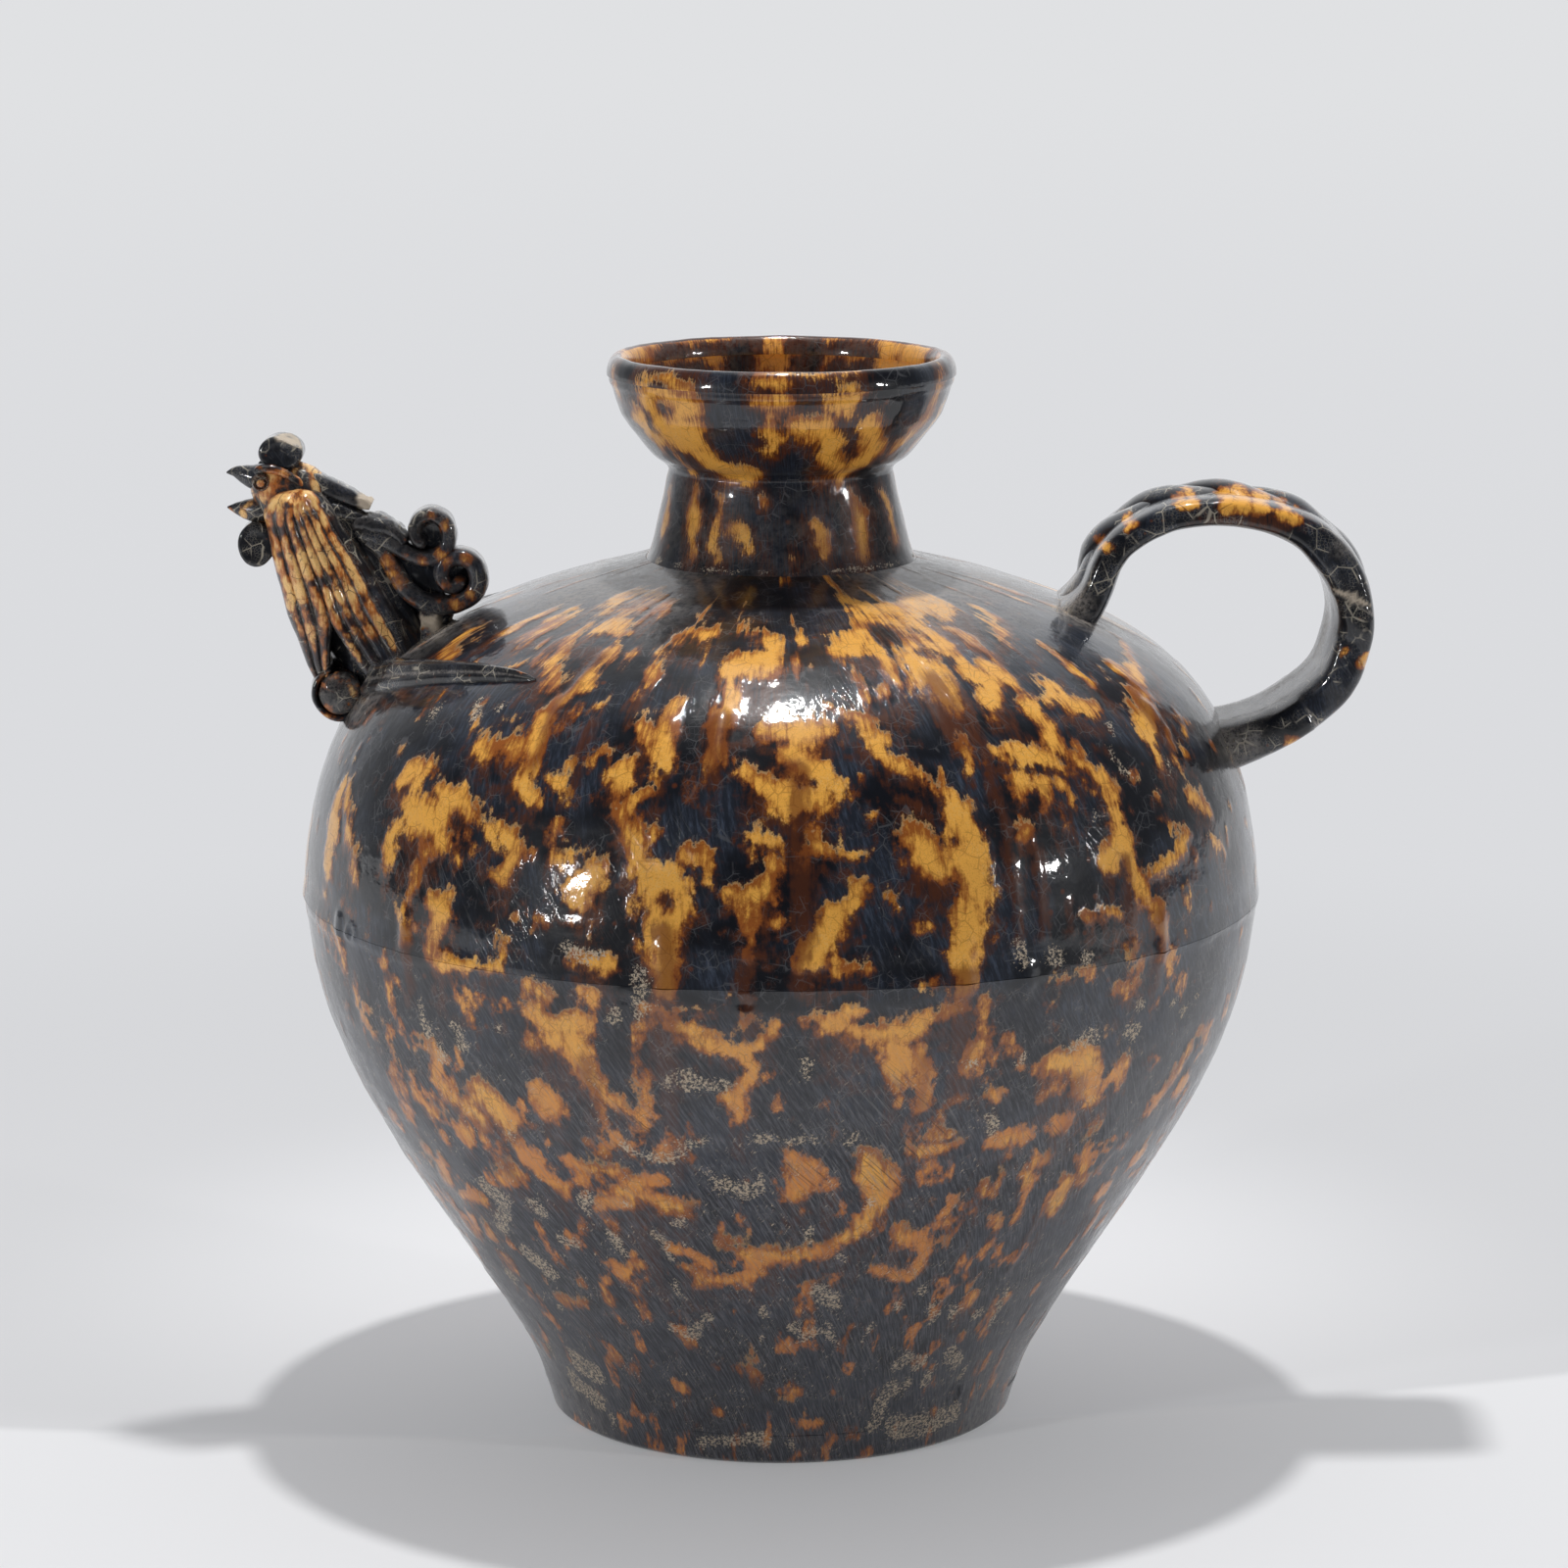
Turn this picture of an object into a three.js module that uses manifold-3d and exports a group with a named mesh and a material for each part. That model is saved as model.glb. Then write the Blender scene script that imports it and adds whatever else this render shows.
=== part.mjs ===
// Phoenix-head ewer: a thrown stoneware jar with a dish mouth, a roped strap handle and a bird's-head spout.
// Millimetres, +Z up. The jar turns on the Z axis, the spout points along -X and the handle along +X.
// The origin is the centre of the flat foot.
import * as THREE from "three";
import { mergeVertices } from "three/addons/utils/BufferGeometryUtils.js";
import Module from "manifold-3d";

const wasm = await Module();
wasm.setup();

// Driving dimensions of the jar
const footRadius = 65;
const footBevel = 1.2;
const floorThickness = 9;
const bellyRadius = 134;
const bellyHeight = 150;
const shoulderHeight = 243;
const bodyWall = 7;
const neckRootRadius = 38;
const neckWaistRadius = 31.4;
const neckWaistRise = 25;
const neckFlareRise = 2.2;
const neckWall = 6;
const dishRootRadius = 33;
const dishRimRadius = 47.2;
const dishRise = 24.3;
const dishWall = 4.6;
const lipRise = 4.9;
const lipOverhang = 1.5;
const seam = 0.3;

// Driving dimensions of the handle
const handleDrop = 19;
const handleStandoff = 28.4;
const handleHalfSpan = 35;
const handleHalfRise = 33.7;
const strapWidth = 32;
const strapThickness = 7;
const strandHalfWidth = 7;
const strandHalfHeight = 1.05;
const strandClear = 0.2;
const strandPitch = 35;

// Driving dimensions of the spout and its bird
const spoutRootShare = 0.527;
const spoutRootDepth = 21.6;
const spoutRun = 32;
const spoutRadiusX = 14;
const spoutRadiusY = 10;
const spoutBoreRadius = 8;
const beakBoreRadius = 3.4;
const headForward = 5.5;
const headRise = 4;
const headLength = 22;
const headHeight = 19;
const headWidth = 17;
const beakLength = 10;
const beakHeight = 6.4;
const beakWidth = 9.6;
const upperBeakRootLift = 4.4;
const upperBeakTipLift = 6.3;
const lowerBeakRootDrop = 4.4;
const lowerBeakTipDrop = 4;
const eyeRadius = 2.1;
const eyeHeight = 1.5;
const eyeSink = 0.9;
const eyeForward = 6.7;
const eyeLift = 4;
const combWidth = 12.7;
const combHeight = 9.4;
const combDepth = 11;
const combForward = 1.1;
const combLift = 11.6;
const combBreakRise = 3.6;
const wattleWidth = 10.4;
const wattleHeight = 12.6;
const wattleDepth = 12;
const wattleForward = 8.6;
const wattleDrop = 13.6;
const rollEndRounding = 0.9;
const featherTopLift = 4;
const featherFootRise = 16;
const featherBreadth = 30;
const featherBack = 3.2;
const featherThickness = 3;
const featherBulge = 1.6;
const fluteCount = 7;
const fluteDepth = 0.9;
const breastHoleWidth = 5.4;
const breastHoleHeight = 3.9;
const crestThickness = 3.9;
const crestWidth = 6.4;
const crestReach = 15.5;
const crestStripThickness = 2.3;
const crestStripReach = 11;
const crestStripBack = 2;
const scrollWidth = 13;
const upperScrollThickness = 4.3;
const upperScrollRadius = 4.7;
const upperScrollBack = 40.7;
const upperScrollDrop = 8.9;
const lowerScrollThickness = 4.8;
const lowerScrollRadius = 3.6;
const lowerScrollBack = 47.4;
const lowerScrollDrop = 21.2;
const lowerScrollStandoff = 18.9;
const stubRadius = 3.6;
const stubForward = 8.3;
const breastForward = 23;
const breastRise = 7.3;
const breastRollWidth = 25;
const breastRollThickness = 2.2;
const breastRollRadius = 6.9;
const wingRootWidth = 15;
const wingTipWidth = 5;
const wingHeight = 3.6;
const wingGroove = 0.8;
const wingRootTurn = 173;
const wingTipTurn = 131;
const wingRootRise = 12.5;
const wingTipRise = 22;

// Heights that follow from those
const neckWaistHeight = shoulderHeight + neckWaistRise;
const neckTopHeight = neckWaistHeight + neckFlareRise;
const dishFootHeight = neckTopHeight + seam;
const dishTopHeight = dishFootHeight + dishRise;
const rimSeatHeight = dishTopHeight + seam;

// Faceting
const bodySides = 48;
const neckSides = 30;
const outlineSteps = 8;
const neckSteps = 5;

// Outline of the jar from foot to belly: share of the way out, share of the way up
const lowerOutlineShares = [
  [0, 0],
  [0.036, 0.053],
  [0.103, 0.133],
  [0.274, 0.267],
  [0.483, 0.413],
  [0.698, 0.573],
  [0.857, 0.72],
  [0.949, 0.853],
  [1, 1],
];

// Outline of the shoulder from belly to neck: share of the way in, share of the way up
const upperOutlineShares = [
  [0, 0],
  [0.015, 0.151],
  [0.052, 0.344],
  [0.133, 0.538],
  [0.257, 0.688],
  [0.454, 0.817],
  [0.698, 0.914],
  [0.885, 0.968],
  [1, 1],
];

// Neck between its root and its waist, and the dish between its root and its rim, as the same two shares
const neckOutlineShares = [
  [0, 0],
  [0.25, 0.14],
  [0.53, 0.42],
  [0.86, 0.78],
  [1, 1],
];
const dishOutlineShares = [
  [0, 0],
  [0.2, 0.1],
  [0.47, 0.3],
  [0.68, 0.47],
  [0.84, 0.68],
  [0.93, 0.86],
  [1, 1],
];

// Centre line of the handle, as shares of its half span and half rise about its centre
const handlePathShares = [
  [-1.24, -0.02],
  [-1.01, 0.28],
  [-0.87, 0.62],
  [-0.69, 0.81],
  [-0.38, 0.96],
  [-0.02, 1],
  [0.31, 0.955],
  [0.6, 0.83],
  [0.8, 0.63],
  [0.94, 0.4],
  [1, 0.12],
  [0.96, -0.15],
  [0.86, -0.4],
  [0.63, -0.62],
  [0.39, -0.77],
  [0.1, -0.89],
  [-0.2, -0.97],
];

// Centre line of the spout, from inside the wall to the head, as shares of its run and rise
const spoutPathShares = [
  [0, 0],
  [0.26, 0.21],
  [0.47, 0.38],
  [0.63, 0.55],
  [0.76, 0.72],
  [0.89, 0.88],
  [1, 1],
];
const spoutSizeShares = [1, 0.97, 0.94, 0.9, 0.83, 0.73, 0.62];
const spoutBoreShares = [1, 0.94, 0.88, 0.81, 0.75, 0.69, 0.56];

const glaze = { color: 0x15181c, roughness: 0.22, metalness: 0 };
const amber = { color: 0x9a5a16, roughness: 0.25, metalness: 0 };
const clay = { color: 0xb9a58c, roughness: 0.85, metalness: 0 };

const ewer = new THREE.Group();
ewer.name = "phoenix_head_ewer";

// A closed geometry as a solid with merged vertices
function solidOf(geometry) {
  const plain = new THREE.BufferGeometry();
  const loose = geometry.index ? geometry.toNonIndexed() : geometry;
  plain.setAttribute("position", loose.getAttribute("position"));
  const merged = mergeVertices(plain);
  const kept = [];
  const index = merged.index.array;
  for (let i = 0; i < index.length; i += 3) {
    const [a, b, c] = [index[i], index[i + 1], index[i + 2]];
    if (a !== b && b !== c && c !== a) kept.push(a, b, c);
  }
  const vertProperties = merged.attributes.position.array;
  const shape = { numProp: 3, vertProperties, triVerts: new Uint32Array(kept) };
  const solid = new wasm.Manifold(new wasm.Mesh(shape));
  if (solid.volume() > 0) return solid;
  for (let i = 0; i < kept.length; i += 3) [kept[i], kept[i + 1]] = [kept[i + 1], kept[i]];
  return new wasm.Manifold(new wasm.Mesh({ ...shape, triVerts: new Uint32Array(kept) }));
}

// A solid back as a geometry
function geometryOf(solid) {
  const mesh = solid.getMesh();
  const geometry = new THREE.BufferGeometry();
  const places = new Float32Array(mesh.vertProperties);
  geometry.setAttribute("position", new THREE.BufferAttribute(places, 3));
  geometry.setIndex(new THREE.BufferAttribute(new Uint32Array(mesh.triVerts), 1));
  geometry.computeVertexNormals();
  return geometry;
}

function addPiece(name, solid, look) {
  const mesh = new THREE.Mesh(geometryOf(solid), new THREE.MeshStandardMaterial(look));
  mesh.name = name;
  ewer.add(mesh);
}

// Cut a solid by each of a list of solids
function cutBy(solid, ...tools) {
  return tools.reduce((left, tool) => left.subtract(tool), solid);
}

// A solid turned from a closed profile of (radius, height) points
function turned(profile, sides) {
  const geometry = new THREE.LatheGeometry([...profile, profile[0]], sides);
  geometry.rotateX(Math.PI / 2);
  return solidOf(geometry);
}

// A solid through rings of points, closed at both ends
function lofted(rings) {
  const places = [];
  const index = [];
  const sides = rings[0].length;
  rings.flat().forEach((p) => places.push(p.x, p.y, p.z));
  for (let r = 0; r < rings.length - 1; r++) {
    for (let s = 0; s < sides; s++) {
      const next = (s + 1) % sides;
      const [a, b] = [r * sides + s, r * sides + next];
      index.push(a, b, b + sides, a, b + sides, a + sides);
    }
  }
  const last = (rings.length - 1) * sides;
  for (const [start, centre] of [[0, rings.length * sides], [last, rings.length * sides + 1]]) {
    const middle = new THREE.Vector3();
    for (const p of rings[start / sides]) middle.add(p);
    middle.divideScalar(sides);
    places.push(middle.x, middle.y, middle.z);
    for (let s = 0; s < sides; s++) {
      const [a, b] = [start + s, start + ((s + 1) % sides)];
      if (start === 0) index.push(b, a, centre);
      else index.push(a, b, centre);
    }
  }
  const geometry = new THREE.BufferGeometry();
  geometry.setAttribute("position", new THREE.Float32BufferAttribute(places, 3));
  geometry.setIndex(index);
  return solidOf(geometry);
}

// Frames along a curve through (x, z) pairs: the point, the direction of travel and the side to its left
function pathFrames(points, steps) {
  const places = points.map(([x, z]) => new THREE.Vector3(x, 0, z));
  const curve = new THREE.CatmullRomCurve3(places, false, "centripetal");
  return Array.from({ length: steps + 1 }, (_, i) => {
    const at = curve.getPointAt(i / steps);
    const along = curve.getTangentAt(i / steps);
    const side = new THREE.Vector3(-along.z, 0, along.x);
    return { at, along, side, share: i / steps, length: curve.getLength() };
  });
}

// A ring about a frame: half size across Y, half size along the frame's side, and how square its corners are
function ring(frame, halfY, halfSide, sides, squareness = 1) {
  return Array.from({ length: sides }, (_, k) => {
    const turn = (2 * Math.PI * (k + 1 / 2)) / sides;
    const [c, s] = [Math.cos(turn), Math.sin(turn)];
    const y = halfY * Math.sign(c) * Math.abs(c) ** squareness;
    const out = halfSide * Math.sign(s) * Math.abs(s) ** squareness;
    return frame.at.clone().addScaledVector(frame.side, out).add(new THREE.Vector3(0, y, 0));
  });
}

// A round ball with its own half sizes
function ball(x, y, z, halfX, halfY, halfZ, around, rows) {
  const geometry = new THREE.SphereGeometry(1, around, rows);
  geometry.rotateX(Math.PI / 2);
  geometry.scale(halfX, halfY, halfZ);
  geometry.translate(x, y, z);
  return solidOf(geometry);
}

// A plate whose outline of (x, z) points is pulled along Y
function plate(outline, lowY, highY) {
  const shape = new THREE.Shape(outline.map(([x, z]) => new THREE.Vector2(x, z)));
  const geometry = new THREE.ExtrudeGeometry(shape, { depth: highY - lowY, bevelEnabled: false });
  geometry.rotateX(Math.PI / 2);
  geometry.translate(0, highY, 0);
  return solidOf(geometry);
}

// Outline points between a lower and an upper (radius, height), from shares
function outlineBetween(low, high, shares, steps) {
  const points = shares.map(([out, up]) => {
    const radius = low.x + (high.x - low.x) * out;
    return new THREE.Vector2(radius, low.y + (high.y - low.y) * up);
  });
  return new THREE.SplineCurve(points).getPoints(steps * 2).filter((_, i) => i % 2 === 0);
}

function radiusAt(outline, height) {
  const i = Math.max(1, outline.findIndex((p) => p.y >= height));
  const [a, b] = [outline[i - 1], outline[i]];
  return a.x + ((b.x - a.x) * (height - a.y)) / (b.y - a.y);
}

// The height at which the shoulder has come in to a radius
function shoulderAt(outline, radius) {
  const i = outline.findIndex((p) => p.x <= radius);
  const [a, b] = [outline[i - 1], outline[i]];
  return a.y + ((b.y - a.y) * (radius - a.x)) / (b.x - a.x);
}

// The part of an outline between two heights
function slice(outline, low, high) {
  const inside = outline.filter((p) => p.y > low && p.y < high);
  const ends = [low, high].map((height) => new THREE.Vector2(radiusAt(outline, height), height));
  return [ends[0], ...inside, ends[1]];
}

// An outline moved square to itself, outwards when the distance is positive
function offset(outline, distance) {
  return outline.map((p, i) => {
    const before = outline[Math.max(i - 1, 0)];
    const after = outline[Math.min(i + 1, outline.length - 1)];
    const along = after.clone().sub(before).normalize();
    return new THREE.Vector2(p.x + along.y * distance, p.y - along.x * distance);
  });
}

const lowerOutline = outlineBetween(
  new THREE.Vector2(footRadius, 0),
  new THREE.Vector2(bellyRadius, bellyHeight),
  lowerOutlineShares,
  outlineSteps,
);
const upperOutline = outlineBetween(
  new THREE.Vector2(bellyRadius, bellyHeight),
  new THREE.Vector2(neckRootRadius, shoulderHeight),
  upperOutlineShares,
  outlineSteps,
);
const bodyOutline = [...lowerOutline, ...upperOutline.slice(1)];

// Places that follow the jar: the handle stands off the shoulder, and the spout and its bird stand on it,
// as high as the post under the lower scroll lifts them
const handleCentreZ = shoulderHeight - handleDrop;
const handleCentreX = radiusAt(bodyOutline, handleCentreZ) + handleStandoff;
const spoutRootZ = bellyHeight + (shoulderHeight - bellyHeight) * spoutRootShare;
const spoutRootX = spoutRootDepth - radiusAt(bodyOutline, spoutRootZ);
const headCentreX = spoutRootX - spoutRun - headForward;
const lowerScrollX = headCentreX + lowerScrollBack;
const stubX = lowerScrollX - stubForward;
const lowerScrollZ = shoulderAt(upperOutline, -stubX) + lowerScrollStandoff;
const headCentreZ = lowerScrollZ + lowerScrollDrop;
const spoutRise = headCentreZ - headRise - spoutRootZ;
const upperScrollX = headCentreX + upperScrollBack;
const upperScrollZ = headCentreZ - upperScrollDrop;
const breastX = spoutRootX - breastForward;
const breastZ = spoutRootZ + breastRise;

// The jar's outer form as one solid, grown by a clearance, to trim what is luted onto it
function bodyEnvelope(clearance) {
  const grown = offset(bodyOutline, clearance);
  const top = new THREE.Vector2(0, shoulderHeight + clearance);
  return turned([new THREE.Vector2(0, -clearance), ...grown, top], bodySides);
}

function buildFoot() {
  const side = slice(lowerOutline, footBevel, floorThickness);
  const profile = [new THREE.Vector2(0, 0), new THREE.Vector2(footRadius - footBevel, 0), ...side];
  return turned([...profile, new THREE.Vector2(0, floorThickness)], bodySides);
}

function buildLowerBody() {
  const low = floorThickness + seam;
  const high = bellyHeight - seam / 2;
  const outer = slice(lowerOutline, low, high);
  const inner = slice(offset(lowerOutline, -bodyWall), low, high);
  return turned([...outer, ...inner.reverse()], bodySides);
}

function buildUpperBody(bore) {
  const low = bellyHeight + seam / 2;
  const outer = slice(upperOutline, low, shoulderHeight);
  const inside = offset(upperOutline, -bodyWall).filter((p) => p.y > low);
  const innerFoot = new THREE.Vector2(bellyRadius - bodyWall, low);
  const collarRadius = neckRootRadius - neckWall;
  const collar = [
    new THREE.Vector2(collarRadius, shoulderHeight),
    new THREE.Vector2(collarRadius, shoulderHeight - bodyWall),
  ];
  return cutBy(turned([...outer, ...collar, ...inside.reverse(), innerFoot], bodySides), bore);
}

function buildNeck() {
  const root = new THREE.Vector2(neckRootRadius, shoulderHeight + seam);
  const waist = new THREE.Vector2(neckWaistRadius, neckWaistHeight);
  const outer = outlineBetween(root, waist, neckOutlineShares, neckSteps);
  const top = new THREE.Vector2(dishRootRadius, neckTopHeight);
  const inner = outer.map((p) => new THREE.Vector2(p.x - neckWall, p.y));
  const innerTop = new THREE.Vector2(neckWaistRadius - neckWall, neckTopHeight);
  return turned([...outer, top, innerTop, ...inner.reverse()], neckSides);
}

function buildDish() {
  const root = new THREE.Vector2(dishRootRadius, dishFootHeight);
  const rim = new THREE.Vector2(dishRimRadius, dishTopHeight);
  const outer = outlineBetween(root, rim, dishOutlineShares, neckSteps);
  const floorHeight = root.y + dishWall;
  const inner = offset(outer, -dishWall).filter((p) => p.y > floorHeight && p.y < dishTopHeight - seam);
  const innerRim = new THREE.Vector2(dishRimRadius - dishWall, dishTopHeight);
  const boreRadius = neckWaistRadius - neckWall;
  const throat = [new THREE.Vector2(boreRadius, floorHeight), new THREE.Vector2(boreRadius, root.y)];
  return turned([...outer, innerRim, ...inner.reverse(), ...throat], neckSides);
}

// The rolled lip: a flat seat on the dish, and a round top that stands out past it
function buildRim() {
  const outside = dishRimRadius + lipOverhang;
  const inside = dishRimRadius - dishWall;
  const centre = (outside + inside) / 2;
  const arc = new THREE.EllipseCurve(centre, rimSeatHeight, (outside - inside) / 2, lipRise, 0, Math.PI);
  return turned([...arc.getPoints(neckSteps + 2)], neckSides);
}

const handlePoints = handlePathShares.map(([x, z]) => {
  return [handleCentreX + x * handleHalfSpan, handleCentreZ + z * handleHalfRise];
});

// How much the strap swells where it is luted on: one in the middle, more towards each root
function rootSwell(share) {
  return 1 + 0.45 * Math.abs(2 * share - 1) ** 8;
}

function buildStrap(envelope) {
  const rings = pathFrames(handlePoints, 28).map((frame) => {
    const swell = rootSwell(frame.share);
    return ring(frame, (strapWidth / 2) * swell, (strapThickness / 2) * swell, 12, 0.6);
  });
  return cutBy(lofted(rings), envelope);
}

// One rope strand: it winds round the other one, flattened onto the outside of the strap
function buildStrand(phase, envelope) {
  const swing = strandHalfWidth + strandClear;
  const lift = strandHalfHeight + strandClear;
  const rings = pathFrames(handlePoints, 44).map((frame) => {
    const turn = phase + (2 * Math.PI * frame.share * frame.length) / strandPitch;
    const base = (strapThickness / 2) * rootSwell(frame.share) + seam + strandHalfHeight + lift;
    const at = frame.at.clone().addScaledVector(frame.side, base + lift * Math.sin(turn));
    at.y += swing * Math.cos(turn);
    return ring({ at, side: frame.side }, strandHalfWidth, strandHalfHeight, 6);
  });
  return cutBy(lofted(rings), envelope);
}

const spoutPoints = spoutPathShares.map(([run, rise]) => {
  return [spoutRootX - run * spoutRun, spoutRootZ + rise * spoutRise];
});

// A value between the entries of a list of shares
function shareAt(shares, share) {
  const place = share * (shares.length - 1);
  const i = Math.min(Math.floor(place), shares.length - 2);
  return shares[i] + (shares[i + 1] - shares[i]) * (place - i);
}

function spoutOutside(clearance) {
  const rings = pathFrames(spoutPoints, 12).map((frame) => {
    const share = shareAt(spoutSizeShares, frame.share);
    const halfY = spoutRadiusY * (1 + share) / 2 + clearance;
    return ring(frame, halfY, spoutRadiusX * share + clearance, 16);
  });
  return lofted(rings);
}

function spoutBore() {
  const rings = pathFrames(spoutPoints, 9).map((frame) => {
    const radius = spoutBoreRadius * shareAt(spoutBoreShares, frame.share);
    return ring(frame, Math.min(radius, spoutRadiusY * 0.7), radius, 10);
  });
  return lofted(rings);
}

// The bird's head, a rounded lump of clay closing the top of the spout
function headForm(clearance) {
  const [halfX, halfY, halfZ] = [headLength, headWidth, headHeight].map((size) => size / 2 + clearance);
  return ball(headCentreX, 0, headCentreZ, halfX, halfY, halfZ, 16, 10);
}

// The pouring channel through the head and out between the beaks
function beakBore() {
  const mouthX = headCentreX - headLength / 2 - beakLength;
  const points = [...spoutPoints.slice(-2), [headCentreX, headCentreZ], [mouthX, headCentreZ]];
  return lofted(pathFrames(points, 8).map((frame) => ring(frame, beakBoreRadius, beakBoreRadius, 8)));
}

// A ball-ended button standing on the side of the head, with a ring round the pupil
const eyeOutlineShares = [
  [0, 0],
  [1, 0],
  [1, 0.55],
  [0.82, 0.7],
  [0.66, 0.5],
  [0.5, 0.85],
  [0.26, 1],
  [0, 1.06],
];

const eyePocketShares = [
  [0, 0],
  [1, 0],
  [1, 2],
  [0, 2],
];

function eyeForm(side, outlineShares, clearance) {
  const outline = outlineShares.map(([out, up]) => {
    return new THREE.Vector2((eyeRadius + clearance) * out, (eyeHeight + clearance) * up);
  });
  const flatness = 1 - (eyeForward / (headLength / 2)) ** 2 - (eyeLift / (headHeight / 2)) ** 2;
  const seat = (headWidth / 2) * Math.sqrt(flatness) - eyeSink - clearance;
  const geometry = new THREE.LatheGeometry(outline, 12);
  if (side < 0) geometry.rotateX(Math.PI);
  geometry.translate(headCentreX - eyeForward, side * seat, headCentreZ + eyeLift);
  return solidOf(geometry);
}

// Size of a beak from its root to its tip, as shares
const beakSizeShares = [1, 0.92, 0.72, 0.42, 0.1];

function buildBeak(rootLift, tipLift, keepClear) {
  const rootX = headCentreX - headLength / 2 + headLength / 6;
  const tipX = headCentreX - headLength / 2 - beakLength + headLength / 5;
  const points = [
    [rootX, headCentreZ + rootLift],
    [(rootX + tipX) / 2, headCentreZ + (rootLift + tipLift * 2) / 3],
    [tipX, headCentreZ + tipLift],
  ];
  const rings = pathFrames(points, beakSizeShares.length - 1).map((frame, i) => {
    return ring(frame, (beakWidth / 2) * beakSizeShares[i], (beakHeight / 2) * beakSizeShares[i], 10);
  });
  return cutBy(lofted(rings), ...keepClear);
}

// A strip rolled up and seen end on: an oval bolster along Y with rounded ends
function bolster(x, z, width, height, depth, clearance) {
  const stations = [
    [-depth / 2 - clearance, rollEndRounding],
    [-depth / 2 - clearance + rollEndRounding, 0],
    [depth / 2 + clearance - rollEndRounding, 0],
    [depth / 2 + clearance, rollEndRounding],
  ];
  const rings = stations.map(([y, inset]) => {
    const [halfX, halfZ] = [width, height].map((size) => size / 2 + clearance - inset);
    const arc = new THREE.EllipseCurve(x, z, halfX, halfZ, 0, 2 * Math.PI);
    return arc.getPoints(18).slice(1).map((p) => new THREE.Vector3(p.x, y, p.y));
  });
  return lofted(rings);
}

function buildComb(keepClear) {
  const [x, z] = [headCentreX - combForward, headCentreZ + combLift];
  const whole = bolster(x, z, combWidth, combHeight, combDepth, 0);
  const broken = [
    [x - combWidth / 4, z + combHeight / 2],
    [x + combWidth, z + combHeight / 2 - combBreakRise],
    [x + combWidth, z + combHeight],
    [x - combWidth / 4, z + combHeight],
  ];
  return cutBy(whole, plate(broken, -combDepth, combDepth), ...keepClear);
}

function wattleForm(clearance) {
  const [x, z] = [headCentreX - wattleForward, headCentreZ - wattleDrop];
  return bolster(x, z, wattleWidth, wattleHeight, wattleDepth, clearance);
}

// Fluted feather slab on each cheek of the spout: left and right edge and height, as shares of its size
const featherRowShares = [
  [0.16, 0.36, 1],
  [0.06, 0.46, 0.96],
  [-0.03, 0.56, 0.88],
  [-0.02, 0.71, 0.7],
  [0.03, 0.86, 0.53],
  [0.11, 1.03, 0.37],
  [0.22, 1.22, 0.17],
  [0.34, 1.36, -0.04],
  [0.4, 1.4, -0.2],
];
const featherLeft = headCentreX - featherBack;
const featherFoot = spoutRootZ + featherFootRise;
const featherHeight = headCentreZ + featherTopLift - featherFoot;

function featherForm(side, clearance) {
  const columns = fluteCount * 4;
  const seat = spoutRadiusY + seam - clearance;
  const rows = featherRowShares.map(([left, right, up], row) => {
    const z = featherFoot + featherHeight * up + (row === 0 ? clearance : 0);
    const low = featherLeft + featherBreadth * left - clearance;
    const high = featherLeft + featherBreadth * right + clearance;
    return { z, low, high };
  });
  const rings = rows.map(({ z, low, high }) => {
    const outside = Array.from({ length: columns + 1 }, (_, i) => {
      const share = i / columns;
      const crown = featherBulge * (1 - (2 * share - 1) ** 2);
      const flute = (fluteDepth / 2) * (1 - Math.cos(2 * Math.PI * fluteCount * share));
      const y = seat + featherThickness - fluteDepth + crown + flute + 2 * clearance;
      return new THREE.Vector3(low + (high - low) * share, side * y, z);
    });
    const inside = [high, low].map((x) => new THREE.Vector3(x, side * seat, z));
    return [...outside, ...inside];
  });
  return lofted(rings);
}

// The room between the outer faces of the two feather slabs, where no wing reaches
function betweenSlabs() {
  const halfY = spoutRadiusY + featherThickness + featherBulge + 2 * seam;
  const [left, top] = [-2 * bellyRadius, 2 * shoulderHeight];
  return plate([[left, 0], [0, 0], [0, top], [left, top]], -halfY, halfY);
}

// A strip of clay on edge along a path of (x, z) points
function ribbon(points, thickness, width, steps, clearance) {
  const rings = pathFrames(points, steps).map((frame) => {
    return ring(frame, width / 2 + clearance, thickness / 2 + clearance, 8, 0.7);
  });
  return lofted(rings);
}

// Points of a spiral about a centre: angles in degrees, and a radius that closes in from one value to another
function spiral(x, z, fromRadius, toRadius, fromAngle, toAngle, count) {
  return Array.from({ length: count + 1 }, (_, i) => {
    const share = i / count;
    const radius = toRadius + (fromRadius - toRadius) * (1 - share) ** 2.5;
    const angle = THREE.MathUtils.degToRad(fromAngle + (toAngle - fromAngle) * share);
    return [x + radius * Math.cos(angle), z + radius * Math.sin(angle)];
  });
}

function crestForm(clearance) {
  const root = [headCentreX + headLength / 3, headCentreZ + headHeight / 5];
  const drop = crestReach * 0.36;
  const points = [root, [root[0] + crestReach, root[1] - drop]];
  return ribbon([points[0], midpoint(...points), points[1]], crestThickness, crestWidth, 3, clearance);
}

function midpoint(a, b) {
  return [(a[0] + b[0]) / 2, (a[1] + b[1]) / 2];
}

// The thin curved strip below the crest, as shares of its reach along and down
const crestStripShares = [
  [0, 0],
  [0.35, -0.03],
  [0.7, -0.12],
  [1, -0.25],
];

function buildCrestStrip(keepClear) {
  const [x, z] = [headCentreX + headLength / 2 + crestStripBack, headCentreZ - headHeight / 8];
  const points = crestStripShares.map(([run, rise]) => {
    return [x + run * crestStripReach, z + rise * crestStripReach];
  });
  return cutBy(ribbon(points, crestStripThickness, scrollWidth, 5, 0), ...keepClear);
}

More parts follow.
